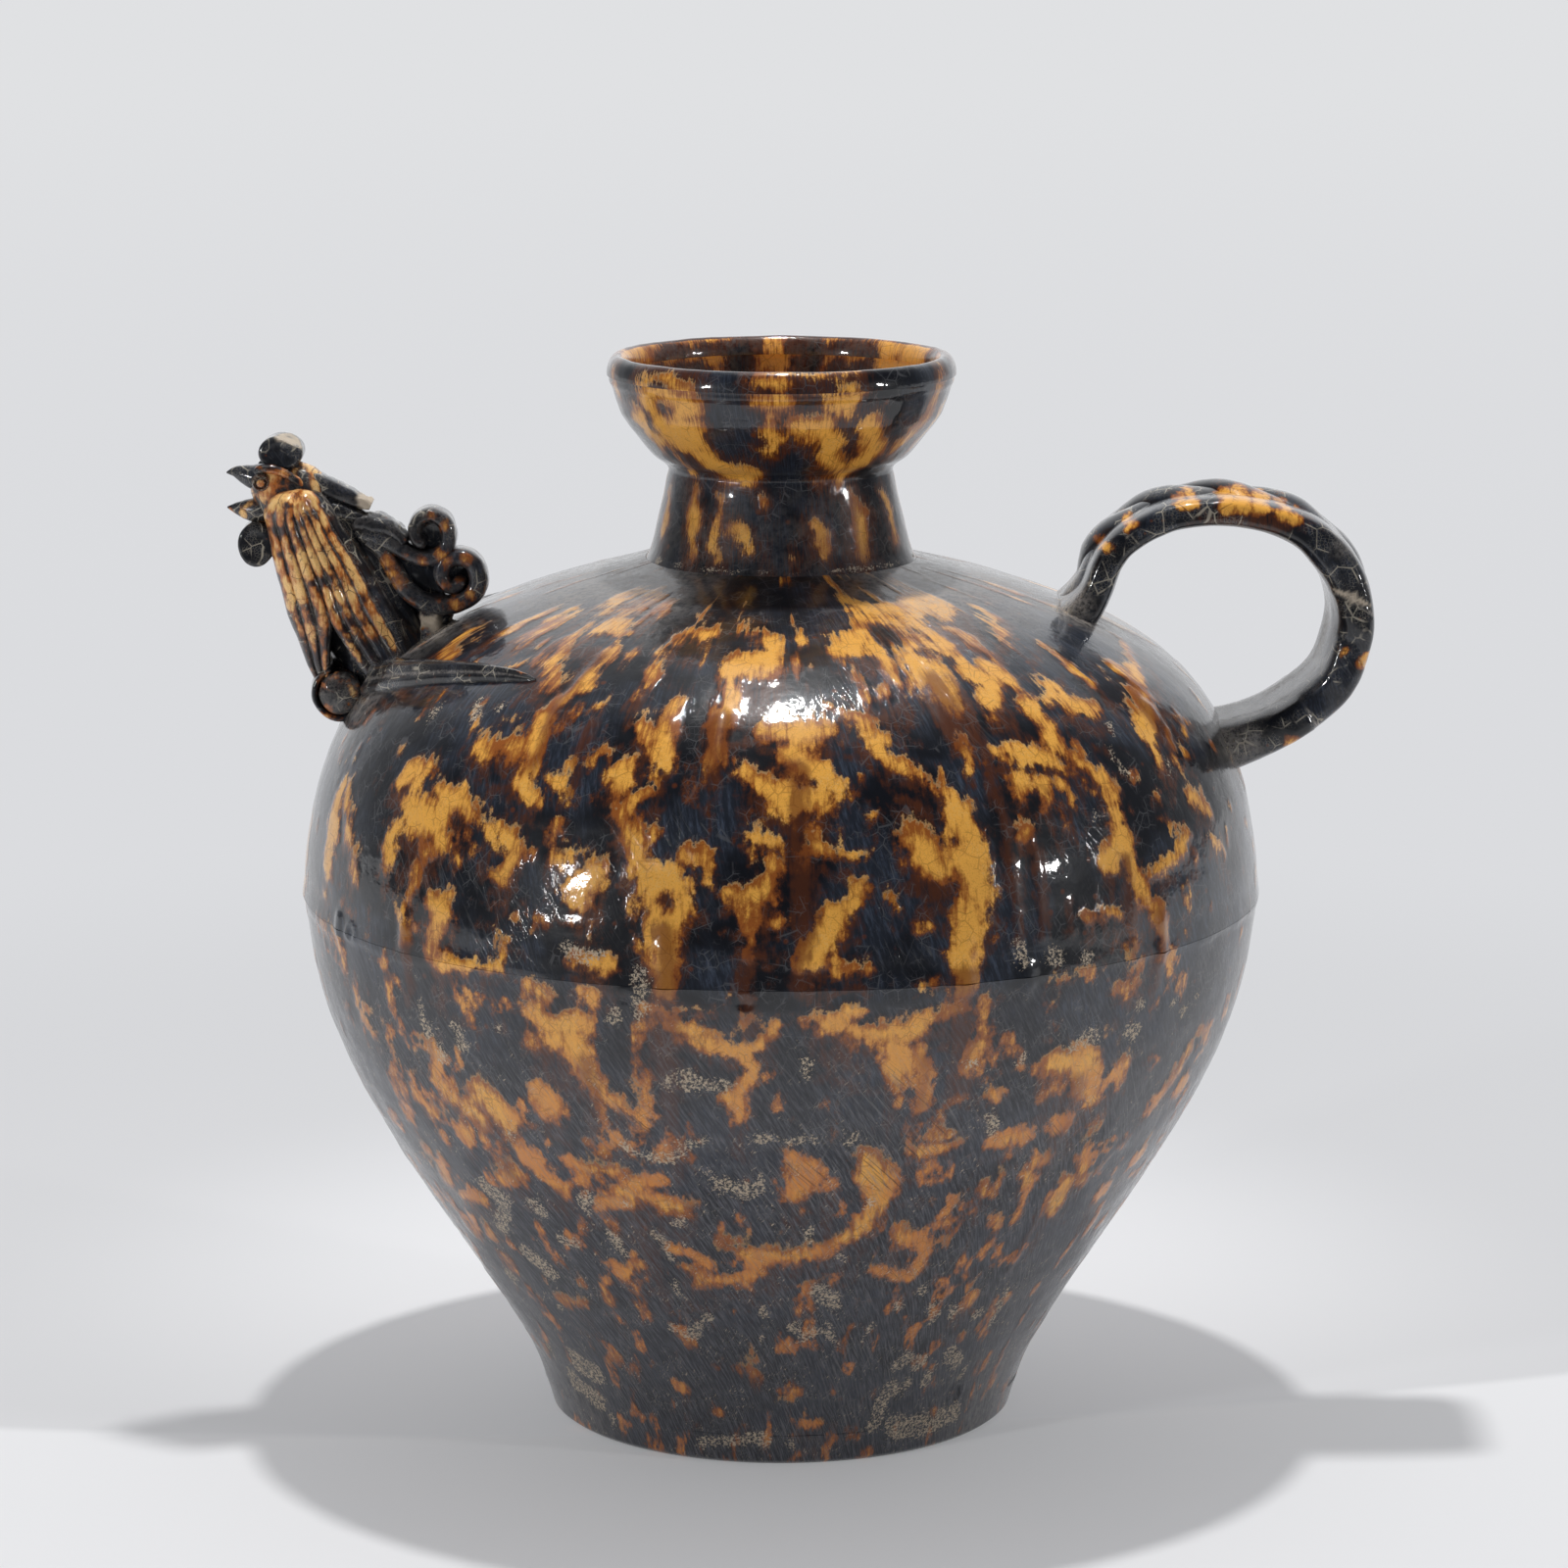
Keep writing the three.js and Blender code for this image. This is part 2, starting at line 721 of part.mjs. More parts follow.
// Where each scroll leaves the spout, as shares of its own radius from its centre
const upperScrollLeadShares = [
  [-4.8, 0.1],
  [-3.57, -0.63],
  [-2.5, -1.13],
  [-1.57, -1.67],
];
const lowerScrollLeadShares = [
  [-8.6, 2.1],
  [-5.7, 1.2],
  [-5.05, -0.15],
  [-4.25, -1.55],
  [-2.9, -2.4],
];

// How much wider each scroll starts than it closes
const upperScrollSpread = 1.85;
const lowerScrollSpread = 2.5;

function scroll(x, z, radius, leadShares, spread, toAngle) {
  const lead = leadShares.map(([run, rise]) => [x + run * radius, z + rise * radius]);
  return [...lead, ...spiral(x, z, radius * spread, radius, -100, toAngle, 12)];
}

function upperScrollForm(clearance) {
  const [x, z, radius] = [upperScrollX, upperScrollZ, upperScrollRadius];
  const points = scroll(x, z, radius, upperScrollLeadShares, upperScrollSpread, 205);
  return ribbon(points, upperScrollThickness, scrollWidth, 26, clearance);
}

function lowerScrollForm(clearance) {
  const [x, z, radius] = [lowerScrollX, lowerScrollZ, lowerScrollRadius];
  const points = scroll(x, z, radius, lowerScrollLeadShares, lowerScrollSpread, 235);
  return ribbon(points, lowerScrollThickness, scrollWidth, 28, clearance);
}

// The short post of clay that props the lower scroll on the shoulder
function buildStub(keepClear) {
  const top = lowerScrollZ - lowerScrollSpread * lowerScrollRadius;
  const geometry = new THREE.CylinderGeometry(stubRadius, stubRadius, top - bellyHeight, 14);
  geometry.rotateX(Math.PI / 2);
  geometry.translate(stubX, 0, (top + bellyHeight) / 2);
  return cutBy(solidOf(geometry), ...keepClear);
}

function breastRollForm(clearance) {
  const turns = spiral(breastX, breastZ, breastRollRadius, breastRollRadius, 118, 318, 14);
  return ribbon(turns, breastRollThickness, breastRollWidth, 18, clearance);
}

function buildBreastBall(keepClear) {
  const radius = breastRollRadius - breastRollThickness / 2 - seam;
  return cutBy(ball(breastX, 0, breastZ, radius, breastRollWidth / 2, radius, 14, 8), ...keepClear);
}

// The room round the breast roll, and the three-sided hole above it, both cut through the feather slabs
function breastClearing() {
  const radius = breastRollRadius + breastRollThickness / 2 + seam;
  const arc = new THREE.EllipseCurve(breastX, breastZ, radius, radius, 0, 2 * Math.PI);
  const round = arc.getPoints(24).slice(1).map((p) => [p.x, p.y]);
  const base = breastZ + radius / 2;
  const hole = [
    [breastX - breastHoleWidth / 2, base],
    [breastX + breastHoleWidth / 2, base],
    [breastX, breastZ + radius + breastHoleHeight],
  ];
  return plate(round, -breastRollWidth, breastRollWidth).add(plate(hole, -breastRollWidth, breastRollWidth));
}

// A feathered wing that lies round the shoulder from the foot of the spout, grooved along its length
function buildWing(side, keepClear) {
  const stations = 10;
  const along = Array.from({ length: stations + 1 }, (_, i) => {
    const share = i / stations;
    const turn = THREE.MathUtils.degToRad(wingRootTurn + (wingTipTurn - wingRootTurn) * share);
    const z = spoutRootZ + wingRootRise + (wingTipRise - wingRootRise) * Math.sin((share * Math.PI) / 2);
    const radius = radiusAt(bodyOutline, z);
    const slope = (radiusAt(bodyOutline, z + seam) - radius) / seam;
    const outward = new THREE.Vector3(Math.cos(turn), side * Math.sin(turn), -slope).normalize();
    const at = new THREE.Vector3(radius * Math.cos(turn), side * radius * Math.sin(turn), z);
    return { at, outward, share };
  });
  const rings = along.map(({ at, outward, share }, i) => {
    const next = along[Math.min(i + 1, stations)].at;
    const before = along[Math.max(i - 1, 0)].at;
    const across = next.clone().sub(before).cross(outward).normalize();
    const round = Math.sqrt(Math.max(1 - share ** 6, 0.12));
    const halfWidth = ((wingRootWidth + (wingTipWidth - wingRootWidth) * share ** 0.7) / 2) * round;
    return Array.from({ length: 18 }, (_, k) => {
      const turn = (2 * Math.PI * k) / 18;
      const groove = wingGroove * (1 - share) * (1 - Math.cos(6 * turn)) * (Math.sin(turn) > 0 ? 0.5 : 0);
      const up = (wingHeight * round - groove) * Math.sin(turn);
      return at.clone().addScaledVector(across, halfWidth * Math.cos(turn)).addScaledVector(outward, up);
    });
  });
  return cutBy(lofted(rings), ...keepClear);
}

// The jar, from the ground up
const nearJar = bodyEnvelope(seam);
const bore = spoutBore();
addPiece("foot_floor", buildFoot(), glaze);
addPiece("lower_body", buildLowerBody(), glaze);
addPiece("upper_body", buildUpperBody(bore), glaze);
addPiece("neck", buildNeck(), glaze);
addPiece("mouth_dish", buildDish(), amber);
addPiece("mouth_rim", buildRim(), glaze);

// The handle
addPiece("handle_strap", buildStrap(nearJar), glaze);
addPiece("handle_strand_near", buildStrand(Math.PI, nearJar), glaze);
addPiece("handle_strand_far", buildStrand(0, nearJar), glaze);

// The spout and its bird, each piece trimmed clear of those laid down before it
const channel = beakBore();
const nearHead = headForm(seam);
const nearSpout = spoutOutside(seam);
const nearCrest = crestForm(seam);
const nearUpperScroll = upperScrollForm(seam);
const nearWattle = wattleForm(seam);
const pockets = [-1, 1].map((side) => eyeForm(side, eyePocketShares, seam));
addPiece("spout_tube", cutBy(spoutOutside(0), nearJar, nearHead, bore, channel), glaze);
addPiece("bird_head", cutBy(headForm(0), bore, channel, ...pockets), amber);
addPiece("beak_upper", buildBeak(upperBeakRootLift, upperBeakTipLift, [nearHead, channel]), glaze);
const nearLowerBeak = [nearHead, channel, nearWattle];
addPiece("beak_lower", buildBeak(-lowerBeakRootDrop, -lowerBeakTipDrop, nearLowerBeak), glaze);
addPiece("eye_near", eyeForm(-1, eyeOutlineShares, 0), amber);
addPiece("eye_far", eyeForm(1, eyeOutlineShares, 0), amber);
addPiece("comb_knob", buildComb([nearHead]), glaze);
addPiece("wattle_roll", cutBy(wattleForm(0), nearHead, nearSpout), glaze);
addPiece("crest_bar", cutBy(crestForm(0), nearHead, nearSpout), glaze);
addPiece("crest_strip", buildCrestStrip([nearHead, nearSpout, nearCrest]), glaze);
addPiece("scroll_upper", cutBy(upperScrollForm(0), nearSpout), glaze);
addPiece("scroll_lower", cutBy(lowerScrollForm(0), nearSpout, nearUpperScroll, nearJar), glaze);
addPiece("scroll_stub", buildStub([nearJar, lowerScrollForm(seam), nearSpout]), clay);
addPiece("breast_roll", cutBy(breastRollForm(0), nearJar, nearSpout), glaze);
addPiece("breast_ball", buildBreastBall([nearJar, nearSpout]), glaze);
for (const [name, side] of [["near", -1], ["far", 1]]) {
  const feathers = cutBy(featherForm(side, 0), nearJar, breastClearing());
  addPiece("feathers_" + name, feathers, amber);
  addPiece("wing_" + name, buildWing(side, [nearJar, betweenSlabs()]), glaze);
}

export default ewer;
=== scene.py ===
# Phoenix-head ewer: a thrown stoneware jar with tortoiseshell glaze, a roped strap handle
# and a bird's-head spout. The sizes below are millimetres in the frame's axes; meshes are made in metres.
import math
import bpy
import numpy as np
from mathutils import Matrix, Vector


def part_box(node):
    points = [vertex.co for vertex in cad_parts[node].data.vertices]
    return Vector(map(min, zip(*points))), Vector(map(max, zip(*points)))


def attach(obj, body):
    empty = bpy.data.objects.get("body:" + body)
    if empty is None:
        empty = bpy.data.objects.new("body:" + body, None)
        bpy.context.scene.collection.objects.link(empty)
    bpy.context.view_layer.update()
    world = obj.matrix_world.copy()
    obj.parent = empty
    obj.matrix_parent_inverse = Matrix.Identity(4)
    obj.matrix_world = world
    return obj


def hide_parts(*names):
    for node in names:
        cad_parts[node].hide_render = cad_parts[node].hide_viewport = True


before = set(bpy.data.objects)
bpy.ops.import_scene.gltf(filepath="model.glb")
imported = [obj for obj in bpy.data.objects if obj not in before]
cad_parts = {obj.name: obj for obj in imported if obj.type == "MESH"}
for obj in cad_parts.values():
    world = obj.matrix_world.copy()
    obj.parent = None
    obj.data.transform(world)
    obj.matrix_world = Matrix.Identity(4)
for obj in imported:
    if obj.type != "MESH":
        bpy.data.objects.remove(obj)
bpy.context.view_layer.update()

MM = 0.001
BODY = "root"

# The jar's sizes: the frame's where it has them, and walls and gaps
FOOT_RADIUS = 65.0
BELLY_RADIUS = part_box("upper_body")[1].x / MM
BELLY_HEIGHT = (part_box("lower_body")[1].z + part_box("upper_body")[0].z) / 2 / MM
SHOULDER_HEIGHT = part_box("upper_body")[1].z / MM
NECK_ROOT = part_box("neck")[1].x / MM
NECK_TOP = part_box("neck")[1].z / MM
DISH_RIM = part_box("mouth_dish")[1].x / MM
DISH_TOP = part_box("mouth_dish")[1].z / MM
RIM_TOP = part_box("mouth_rim")[1].z / MM
NECK_WAIST = 31.4
BODY_WALL = 7.0
NECK_WALL = 6.0
DISH_WALL = 4.6
LIP_OVERHANG = 1.5
PIECE_GAP = 0.02

# Outline of the jar as shares of the way out or in, and up: foot to belly, belly to neck, neck and dish
LOWER_SHARES = [(0, 0), (0.036, 0.053), (0.103, 0.133), (0.274, 0.267), (0.483, 0.413), (0.698, 0.573),
                (0.857, 0.72), (0.949, 0.853), (1, 1)]
UPPER_SHARES = [(0, 0), (0.015, 0.151), (0.052, 0.344), (0.133, 0.538), (0.257, 0.688), (0.454, 0.817),
                (0.698, 0.914), (0.885, 0.968), (1, 1)]
NECK_SHARES = [(0, 0), (0.25, 0.14), (0.53, 0.42), (0.86, 0.78), (1, 1)]
DISH_SHARES = [(0, 0), (0.2, 0.1), (0.47, 0.3), (0.68, 0.47), (0.84, 0.68), (0.93, 0.86), (1, 1)]

# The camera stands in front of the jar and looks slightly down
CAMERA_DISTANCE = 1500.0
CAMERA_HEIGHT = 470.0
CAMERA_SIDE = 0.8
CAMERA_PITCH = 11.0
CAMERA_LENS = 124.8
SENSOR = 36.0


# Seeded noise for shapes and for the glaze's course

def hashed(i, j, k, seed):
    """A repeatable value from -1 to 1 for each place of a whole-numbered lattice."""
    h = (i * 374761393 + j * 668265263 + k * 1274126177 + seed * 1442695041) & 0xFFFFFFFF
    h = ((h ^ (h >> 13)) * 1103515245) & 0xFFFFFFFF
    h = ((h ^ (h >> 16)) * 2246822519) & 0xFFFFFFFF
    return ((h ^ (h >> 15)) & 0xFFFF) / 32767.5 - 1


def noise(points, size, seed, octaves=1):
    """Smooth noise from -1 to 1 at points of three columns, with lumps of the given size."""
    total, weight = 0.0, 0.0
    for octave in range(octaves):
        q = points / (size / 2 ** octave)
        low = np.floor(q).astype(np.int64)
        f = q - low
        f = f * f * (3 - 2 * f)
        value = 0.0
        for corner in range(8):
            d = [(corner >> axis) & 1 for axis in range(3)]
            share = 1.0
            for axis in range(3):
                share = share * (f[:, axis] if d[axis] else 1 - f[:, axis])
            place = (low[:, axis] + d[axis] for axis in range(3))
            value = value + share * hashed(*place, seed + octave)
        total = total + value / 2 ** octave
        weight += 1 / 2 ** octave
    return total / weight


def noise_share(points, size, seed, octaves=1):
    """The same noise, from 0 to 1."""
    return 0.5 + 0.5 * noise(points, size, seed, octaves)


def smooth(low, high, value):
    """0 below low, 1 above high, and smooth between them; low may be the higher one."""
    t = np.clip((value - low) / (high - low), 0, 1)
    return t * t * (3 - 2 * t)


# Curves

def catmull(points, count):
    """Points spread evenly along a smooth curve through the given points."""
    p = np.array(points, float)
    ends = np.vstack([2 * p[0] - p[1], p, 2 * p[-1] - p[-2]])
    fine = []
    for i in range(1, len(ends) - 2):
        t = np.linspace(0, 1, 24, endpoint=False)[:, None]
        a, b, c, d = ends[i - 1], ends[i], ends[i + 1], ends[i + 2]
        fine.append(0.5 * (2 * b + (c - a) * t + (2 * a - 5 * b + 4 * c - d) * t ** 2
                           + (3 * b - a - 3 * c + d) * t ** 3))
    fine = np.vstack([*fine, p[-1:]])
    return spread(fine, count)


def step_lengths(line):
    return np.linalg.norm(np.diff(line, axis=0), axis=1)


def spread(line, count):
    """A line of points drawn again with evenly spaced points."""
    length = np.concatenate([[0], np.cumsum(step_lengths(line))])
    at = np.linspace(0, length[-1], count)
    return np.stack([np.interp(at, length, line[:, k]) for k in range(line.shape[1])], axis=1)


def from_shares(low, high, shares):
    return [(low[0] + (high[0] - low[0]) * out, low[1] + (high[1] - low[1]) * up) for out, up in shares]


def unit(vectors):
    return vectors / np.linalg.norm(vectors, axis=1)[:, None]


def sideways(along):
    """Directions in a plane turned by a quarter to the left."""
    return np.stack([-along[:, 1], along[:, 0]], axis=1)


def moved_in(line, distance):
    """A (radius, height) outline moved square to itself, towards the inside."""
    return line + distance * sideways(unit(np.gradient(line, axis=0)))


# Meshes

def make_mesh(name, points, faces, material, facts, sharp_angle=50):
    """A shaded mesh object in metres from millimetre points; facts are values stored at its points."""
    mesh = bpy.data.meshes.new(name)
    mesh.from_pydata((np.asarray(points) * MM).tolist(), [], faces)
    mesh.validate()
    mesh.update()
    for key, values in facts.items():
        attribute = mesh.attributes.new(key, "FLOAT", "POINT")
        attribute.data.foreach_set("value", np.asarray(values, np.float32))
    mesh.shade_smooth()
    mesh.set_sharp_from_angle(angle=math.radians(sharp_angle))
    mesh.materials.append(material)
    piece = bpy.data.objects.new(name, mesh)
    bpy.context.scene.collection.objects.link(piece)
    return piece


def grid_faces(rows, columns, close_rows=False):
    """Faces between rings of points, and from the last ring to the first when the rows close."""
    faces = []
    for r in range(rows if close_rows else rows - 1):
        a, b = r * columns, ((r + 1) % rows) * columns
        for c in range(columns):
            n = (c + 1) % columns
            faces.append((a + c, a + n, b + n, b + c))
    return faces


def seat(piece, nodes):
    """Sets a dressed piece on the body in place of CAD nodes."""
    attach(piece, BODY)
    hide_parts(*nodes)


# The glaze's course over the jar: strokes of (degrees from the front, height, half width)

AMBER_STROKES = [
    [(-23, 229, 1.2), (-20, 232.5, 1.2), (-14, 232, 1.2)], [(-21.5, 224, 3.5)], [(-27, 217.5, 1.5)],
    [(-19, 214, 3), (-18, 212, 3)], [(-15.5, 217, 3.2), (-15, 206, 3.2)], [(-8, 225, 3), (-8.5, 205, 2)],
    [(-8, 226, 4), (-1, 229, 4)], [(-3, 232, 2)], [(-2, 214, 2.5), (4, 213, 3.5), (7, 213, 2)],
    [(1.5, 208, 3.5), (5, 204, 2.5), (7, 201, 2)], [(-5, 205, 2), (1, 197, 3.5), (5, 198, 3.5)],
    [(-3, 190, 1.5), (0, 188, 1.5)], [(4, 186, 1.8), (9, 184, 1.8)], [(-19, 206, 1.5), (-20, 202, 3.5)],
    [(-16, 200, 1.8), (-19.5, 195, 2.5), (-18, 188, 2.5), (-17, 182, 3)], [(-16, 186, 1.5),
     (-15, 190, 1.5)], [(-16, 180, 3), (-13.5, 176, 6), (-12.5, 170, 5.5), (-13.5, 165, 4.5),
     (-13, 150, 3)], [(-11, 184, 1.6), (-8.5, 185, 1.6), (-8.5, 178, 1.6)], [(-1, 181, 3), (-2, 176, 4),
     (-6, 175, 2)], [(-1.5, 173, 3.5), (-4, 170, 2.5), (-4, 160, 1.5)], [(-0.5, 168, 2.5)], [(8.5, 177, 2),
     (8, 173, 2), (6, 170, 3), (4, 160, 3.5), (3, 157, 2.5)], [(9, 156, 1.5), (6, 155, 1.5)],
    [(8.5, 217, 2), (11, 215, 2), (13, 211, 2), (14, 207, 2), (16, 205, 3), (18, 202, 2.5),
     (21.5, 195, 2.3)], [(16, 187, 5), (18, 180, 4)], [(22, 192, 5), (22, 183, 6), (23, 175, 5),
     (21.5, 168, 4), (21, 150, 3)], [(10, 230, 2.5), (14, 231, 3), (17, 233, 3), (18, 228, 2.5),
     (19, 224, 2.5)], [(12, 225, 2), (13, 221, 2)], [(16, 221, 2.5)], [(25, 230, 3), (23, 224, 4),
     (26, 222, 5)], [(25, 210, 2.2), (24.5, 203, 2.2)], [(18, 237, 2), (24, 236, 2)], [(24, 236, 1.2),
     (30, 229, 1.2)], [(-9, 233, 1), (-3, 233, 1)], [(4, 232, 1.6)], [(8.5, 231, 1)], [(24, 227, 1.8)],
    [(5.5, 226, 1)], [(7, 218.5, 1)], [(-22, 206, 1)], [(10.5, 193, 1)], [(9.5, 203, 0.8)], [(12, 173, 1),
     (13, 170, 1)], [(-28, 199, 2.5)], [(-28, 187, 1.2), (-27, 182, 1.2)], [(-25, 183, 3)],
    [(-22, 178, 3.5), (-24, 172, 4)], [(32, 224, 4), (34, 220, 3), (31, 217, 3)], [(30, 235, 3),
     (31.5, 230, 3)], [(27, 236, 1.5), (34, 235, 2), (40, 237, 2.5), (46, 238, 2.5)], [(36, 225, 2),
     (38, 222.5, 2), (39, 219, 1.5), (38, 215, 3.5), (38.5, 210, 3.5), (39.5, 205, 2), (43, 198, 2),
     (44.5, 193, 2), (44, 187, 2.3), (44.5, 180, 3.5), (46, 170, 3), (48.5, 160, 2.8), (49, 153, 2.5)],
    [(41, 178, 4)], [(37, 231, 2), (39, 229, 2)], [(45, 228.5, 1.3), (53, 233.5, 1.3)], [(53, 225, 3),
     (53, 218, 2)], [(41.5, 216, 1), (44.5, 219, 1.8), (44.5, 215, 1.8), (47, 213.5, 2), (49.5, 213, 1.5)],
    [(62.5, 219, 2), (64, 216.5, 2.3), (67, 218, 1.5), (78, 223, 1)], [(63, 213, 2.5), (60, 211, 2.5),
     (57.5, 208, 2.5), (56, 204, 2.5), (55, 197, 1.5)], [(62.3, 197, 1.5)], [(29, 207, 2), (32, 206, 2.5),
     (36, 204, 2.5), (38, 201, 2.5)], [(31, 200, 2), (30.5, 196, 2)], [(33.5, 198, 2), (34, 193, 2)],
    [(36, 197, 2), (37, 193, 2)], [(30, 188, 3)], [(52.5, 189.5, 1.5)], [(60, 186, 2.5), (63, 184, 2.5)],
    [(62, 176, 2), (66, 169, 2)], [(57, 178, 1.5), (55, 175, 1.5), (48, 170, 1.5)], [(68, 176, 1),
     (68, 172, 1)], [(40, 164, 1.6), (41.5, 163, 1.6)], [(37.5, 163, 1)], [(-33, 238, 1.3),
     (-30, 237.5, 1.3)], [(-42, 238, 2), (-36, 238, 2)], [(-50, 238, 2), (-45, 237, 2)], [(-56, 234, 2),
     (-53, 231, 2), (-52, 229.5, 2)], [(-61, 230.5, 3.5)], [(-40, 233, 1.8), (-36, 233, 1.8),
     (-34, 231.5, 1.8), (-32, 227, 1.8), (-31.5, 221, 2), (-33, 216, 2)], [(-34, 213, 3), (-34, 205, 3),
     (-37, 206, 2), (-42.5, 206, 2)], [(-40, 203, 2)], [(-33, 201, 2), (-33, 197, 2), (-31, 195, 2)],
    [(-44, 231, 2), (-42, 228, 2), (-41, 225, 2), (-39, 222.5, 2), (-36, 221, 2)], [(-28, 192, 1.2),
     (-27.5, 188, 1.2)], [(-72, 225, 2.5), (-66, 221.5, 2.5)], [(-50, 223, 1), (-47, 224, 1)],
    [(-50, 199, 2.5), (-53, 196, 3), (-55, 192, 2.5)], [(-46, 194, 3.5), (-43, 192, 3), (-40, 190, 2)],
    [(-49, 186, 6), (-46, 186, 5), (-44, 182, 3), (-47, 177, 2)], [(-50, 197, 2), (-51, 188, 3)],
    [(-53, 182, 2), (-52.5, 175, 2), (-53, 170, 2)], [(-48, 173, 2), (-47, 168, 2), (-49, 160, 2),
     (-48.5, 154, 2.5)], [(-37, 188, 2), (-36, 184, 2)], [(-34, 186, 2.5), (-32.5, 182, 2.5),
     (-34, 176, 2.5)], [(-43.5, 165, 3), (-42, 162, 4), (-43, 152, 2.5), (-42, 150, 2), (-38, 149, 2),
     (-34, 151, 1.8), (-32.5, 158, 1.5)], [(-67, 187, 2.5), (-65, 182, 2.5), (-64, 175, 2.5)],
    [(-70, 185, 3), (-68, 165, 4)], [(-61, 170, 2.5), (-60, 165, 2)], [(-58, 201, 1)], [(-45, 208, 1)],
    [(-15, 143.5, 1.2), (-9, 143.5, 1.2)], [(-12, 141, 1.8), (-9, 136, 1.8), (-5, 134, 1.8),
     (-2.5, 136, 1.8), (-1, 141, 1.8)], [(-4, 132, 1.8), (-3.5, 127, 2), (-5.5, 119, 2.5), (-5, 113, 1.5)],
    [(-24, 156, 2.5), (-20, 154, 2.5)], [(-29, 148, 3), (-27, 145, 3)], [(-22, 147, 2)], [(-27, 136, 3),
     (-24, 138, 4), (-24, 131, 3), (-23, 124, 2), (-21, 117, 2), (-18, 114.5, 2)], [(-29, 115, 3.5)],
    [(-22, 103, 1.5)], [(-28, 97, 2.5), (-21.5, 95, 2.5)], [(-27, 92, 3)], [(-20, 90, 2.5),
     (-16, 92.5, 2.5)], [(-22, 88, 2.5), (-13, 86, 2.5)], [(-25, 83, 2), (-20, 85, 2)], [(8, 145, 2.2),
     (5, 142, 2.2), (8, 139, 2.2), (11, 137.5, 2.2), (15, 138.5, 2.2), (17, 142, 2.2), (20, 143.5, 2.2)],
    [(12, 135, 2), (13, 129, 3), (13.5, 123, 1.8)], [(16, 132, 2), (17, 115, 2)], [(24, 145, 1.8),
     (23, 133, 1.8), (22, 126, 1.8)], [(26, 117, 2)], [(1.5, 103, 2.5), (3, 97, 3), (2, 92, 3)],
    [(11, 101, 3), (12.5, 95, 5), (12, 88, 3.5), (11, 82, 3)], [(16, 103, 2), (22, 104, 2)], [(18, 107, 1),
     (21, 107.5, 1)], [(19, 97, 1.2)], [(23, 83, 1.5)], [(32, 147, 0.8), (35, 147.5, 0.8)],
    [(32, 142, 1.3)], [(44, 147, 1.3)], [(51, 146, 1.2), (51.5, 143, 1.2)], [(42, 142, 1.3),
     (45, 142, 1.3)], [(34, 123, 4), (38, 125, 4), (39, 118, 4), (41, 111, 3)], [(44, 114, 3),
     (45.5, 121, 2.5)], [(37.5, 105, 3)], [(27, 103, 1.8), (32, 103, 1.8)], [(36.5, 95, 2.5)], [(35, 90, 2),
     (36, 88, 2)], [(44, 94, 2), (46, 88, 2)], [(43, 84, 3.5), (43, 78, 3.5)], [(47, 84, 2)],
    [(28.5, 90, 1.5), (29, 86, 1.5)], [(60, 116, 2), (56, 105, 2)], [(63, 106, 4)], [(60, 86, 3)],
    [(55, 77, 3)], [(-63.5, 146.5, 2), (-64, 139, 1.5)], [(-52, 150, 1), (-52, 144, 1)], [(-38, 143, 1.2)],
    [(-33, 155, 1.3)], [(-29, 141, 3.5), (-26, 134, 3.5)], [(-45, 121, 2.5), (-46, 114, 2.5),
     (-44, 112, 2.5)], [(-52, 115, 1.3), (-52, 108, 1.3), (-50, 103, 1.3)], [(-46, 103, 2.5),
     (-45, 97, 2.5)], [(-39, 113, 5), (-36, 108, 4)], [(-41, 109, 4), (-40, 104, 3)], [(-34, 96, 3.5)],
    [(-30, 115, 2.5), (-28, 113, 2.5)], [(-41, 98, 1.5)], [(-38, 90, 2.5), (-41, 87, 2.5)], [(-33, 92, 3),
     (-30, 87, 3)], [(-50, 95, 1.5)], [(-54, 86, 2), (-57, 80, 2.5)], [(-58.5, 123, 1.5)],
    [(-25.5, 61, 3.5), (-22, 65, 1.5)], [(-23, 68, 2)], [(-17, 72, 1.3), (-14, 70, 1.3), (-10.5, 66, 1.3)],
    [(-16, 65, 1.6), (-12, 62.5, 1.6), (-6, 62, 1.6), (-5, 66, 2), (-4.5, 70, 3), (-1.5, 71, 3),
     (2, 70, 1.8), (6, 73, 1.8), (9, 76, 2.2), (11, 80, 3)], [(16.5, 79, 2), (18, 75, 2.5), (20, 74, 2.5),
     (22, 68, 2), (20.5, 62, 1.3)], [(14, 64, 0.8), (19, 62, 0.9)], [(-6, 32, 1.3), (-5, 29, 1.5)],
    [(-21.5, 24, 1.8)], [(1.5, 15, 1), (5, 13, 1.3), (8, 12, 1)], [(-30, 57, 2)], [(32.5, 76, 1.3),
     (33, 64, 1.3)], [(34.5, 50, 2.5)], [(37, 37, 1.1)], [(-43, 47, 1.7), (-37, 47.5, 1.7)],
    [(-31, 55, 1.8), (-31, 50, 1.8)], [(-55, 75, 1.5), (-48, 77, 1.5)], [(-57, 68, 2)], [(-53, 65, 2)],
    [(4, 60, 1.6), (5, 53, 1.6)],
]

# Dark islands inside the amber
DARK_STROKES = [
    [(-1.2, 171, 1.2)], [(14.5, 225, 2.4)], [(24.3, 215, 2.2)], [(-54, 233.5, 1.2)], [(-49, 193.5, 1.4)],
    [(44.5, 112.5, 1.4)], [(-46, 107, 2.6)], [(21, 186, 0.8)], [(-13, 172, 0.5)],
]

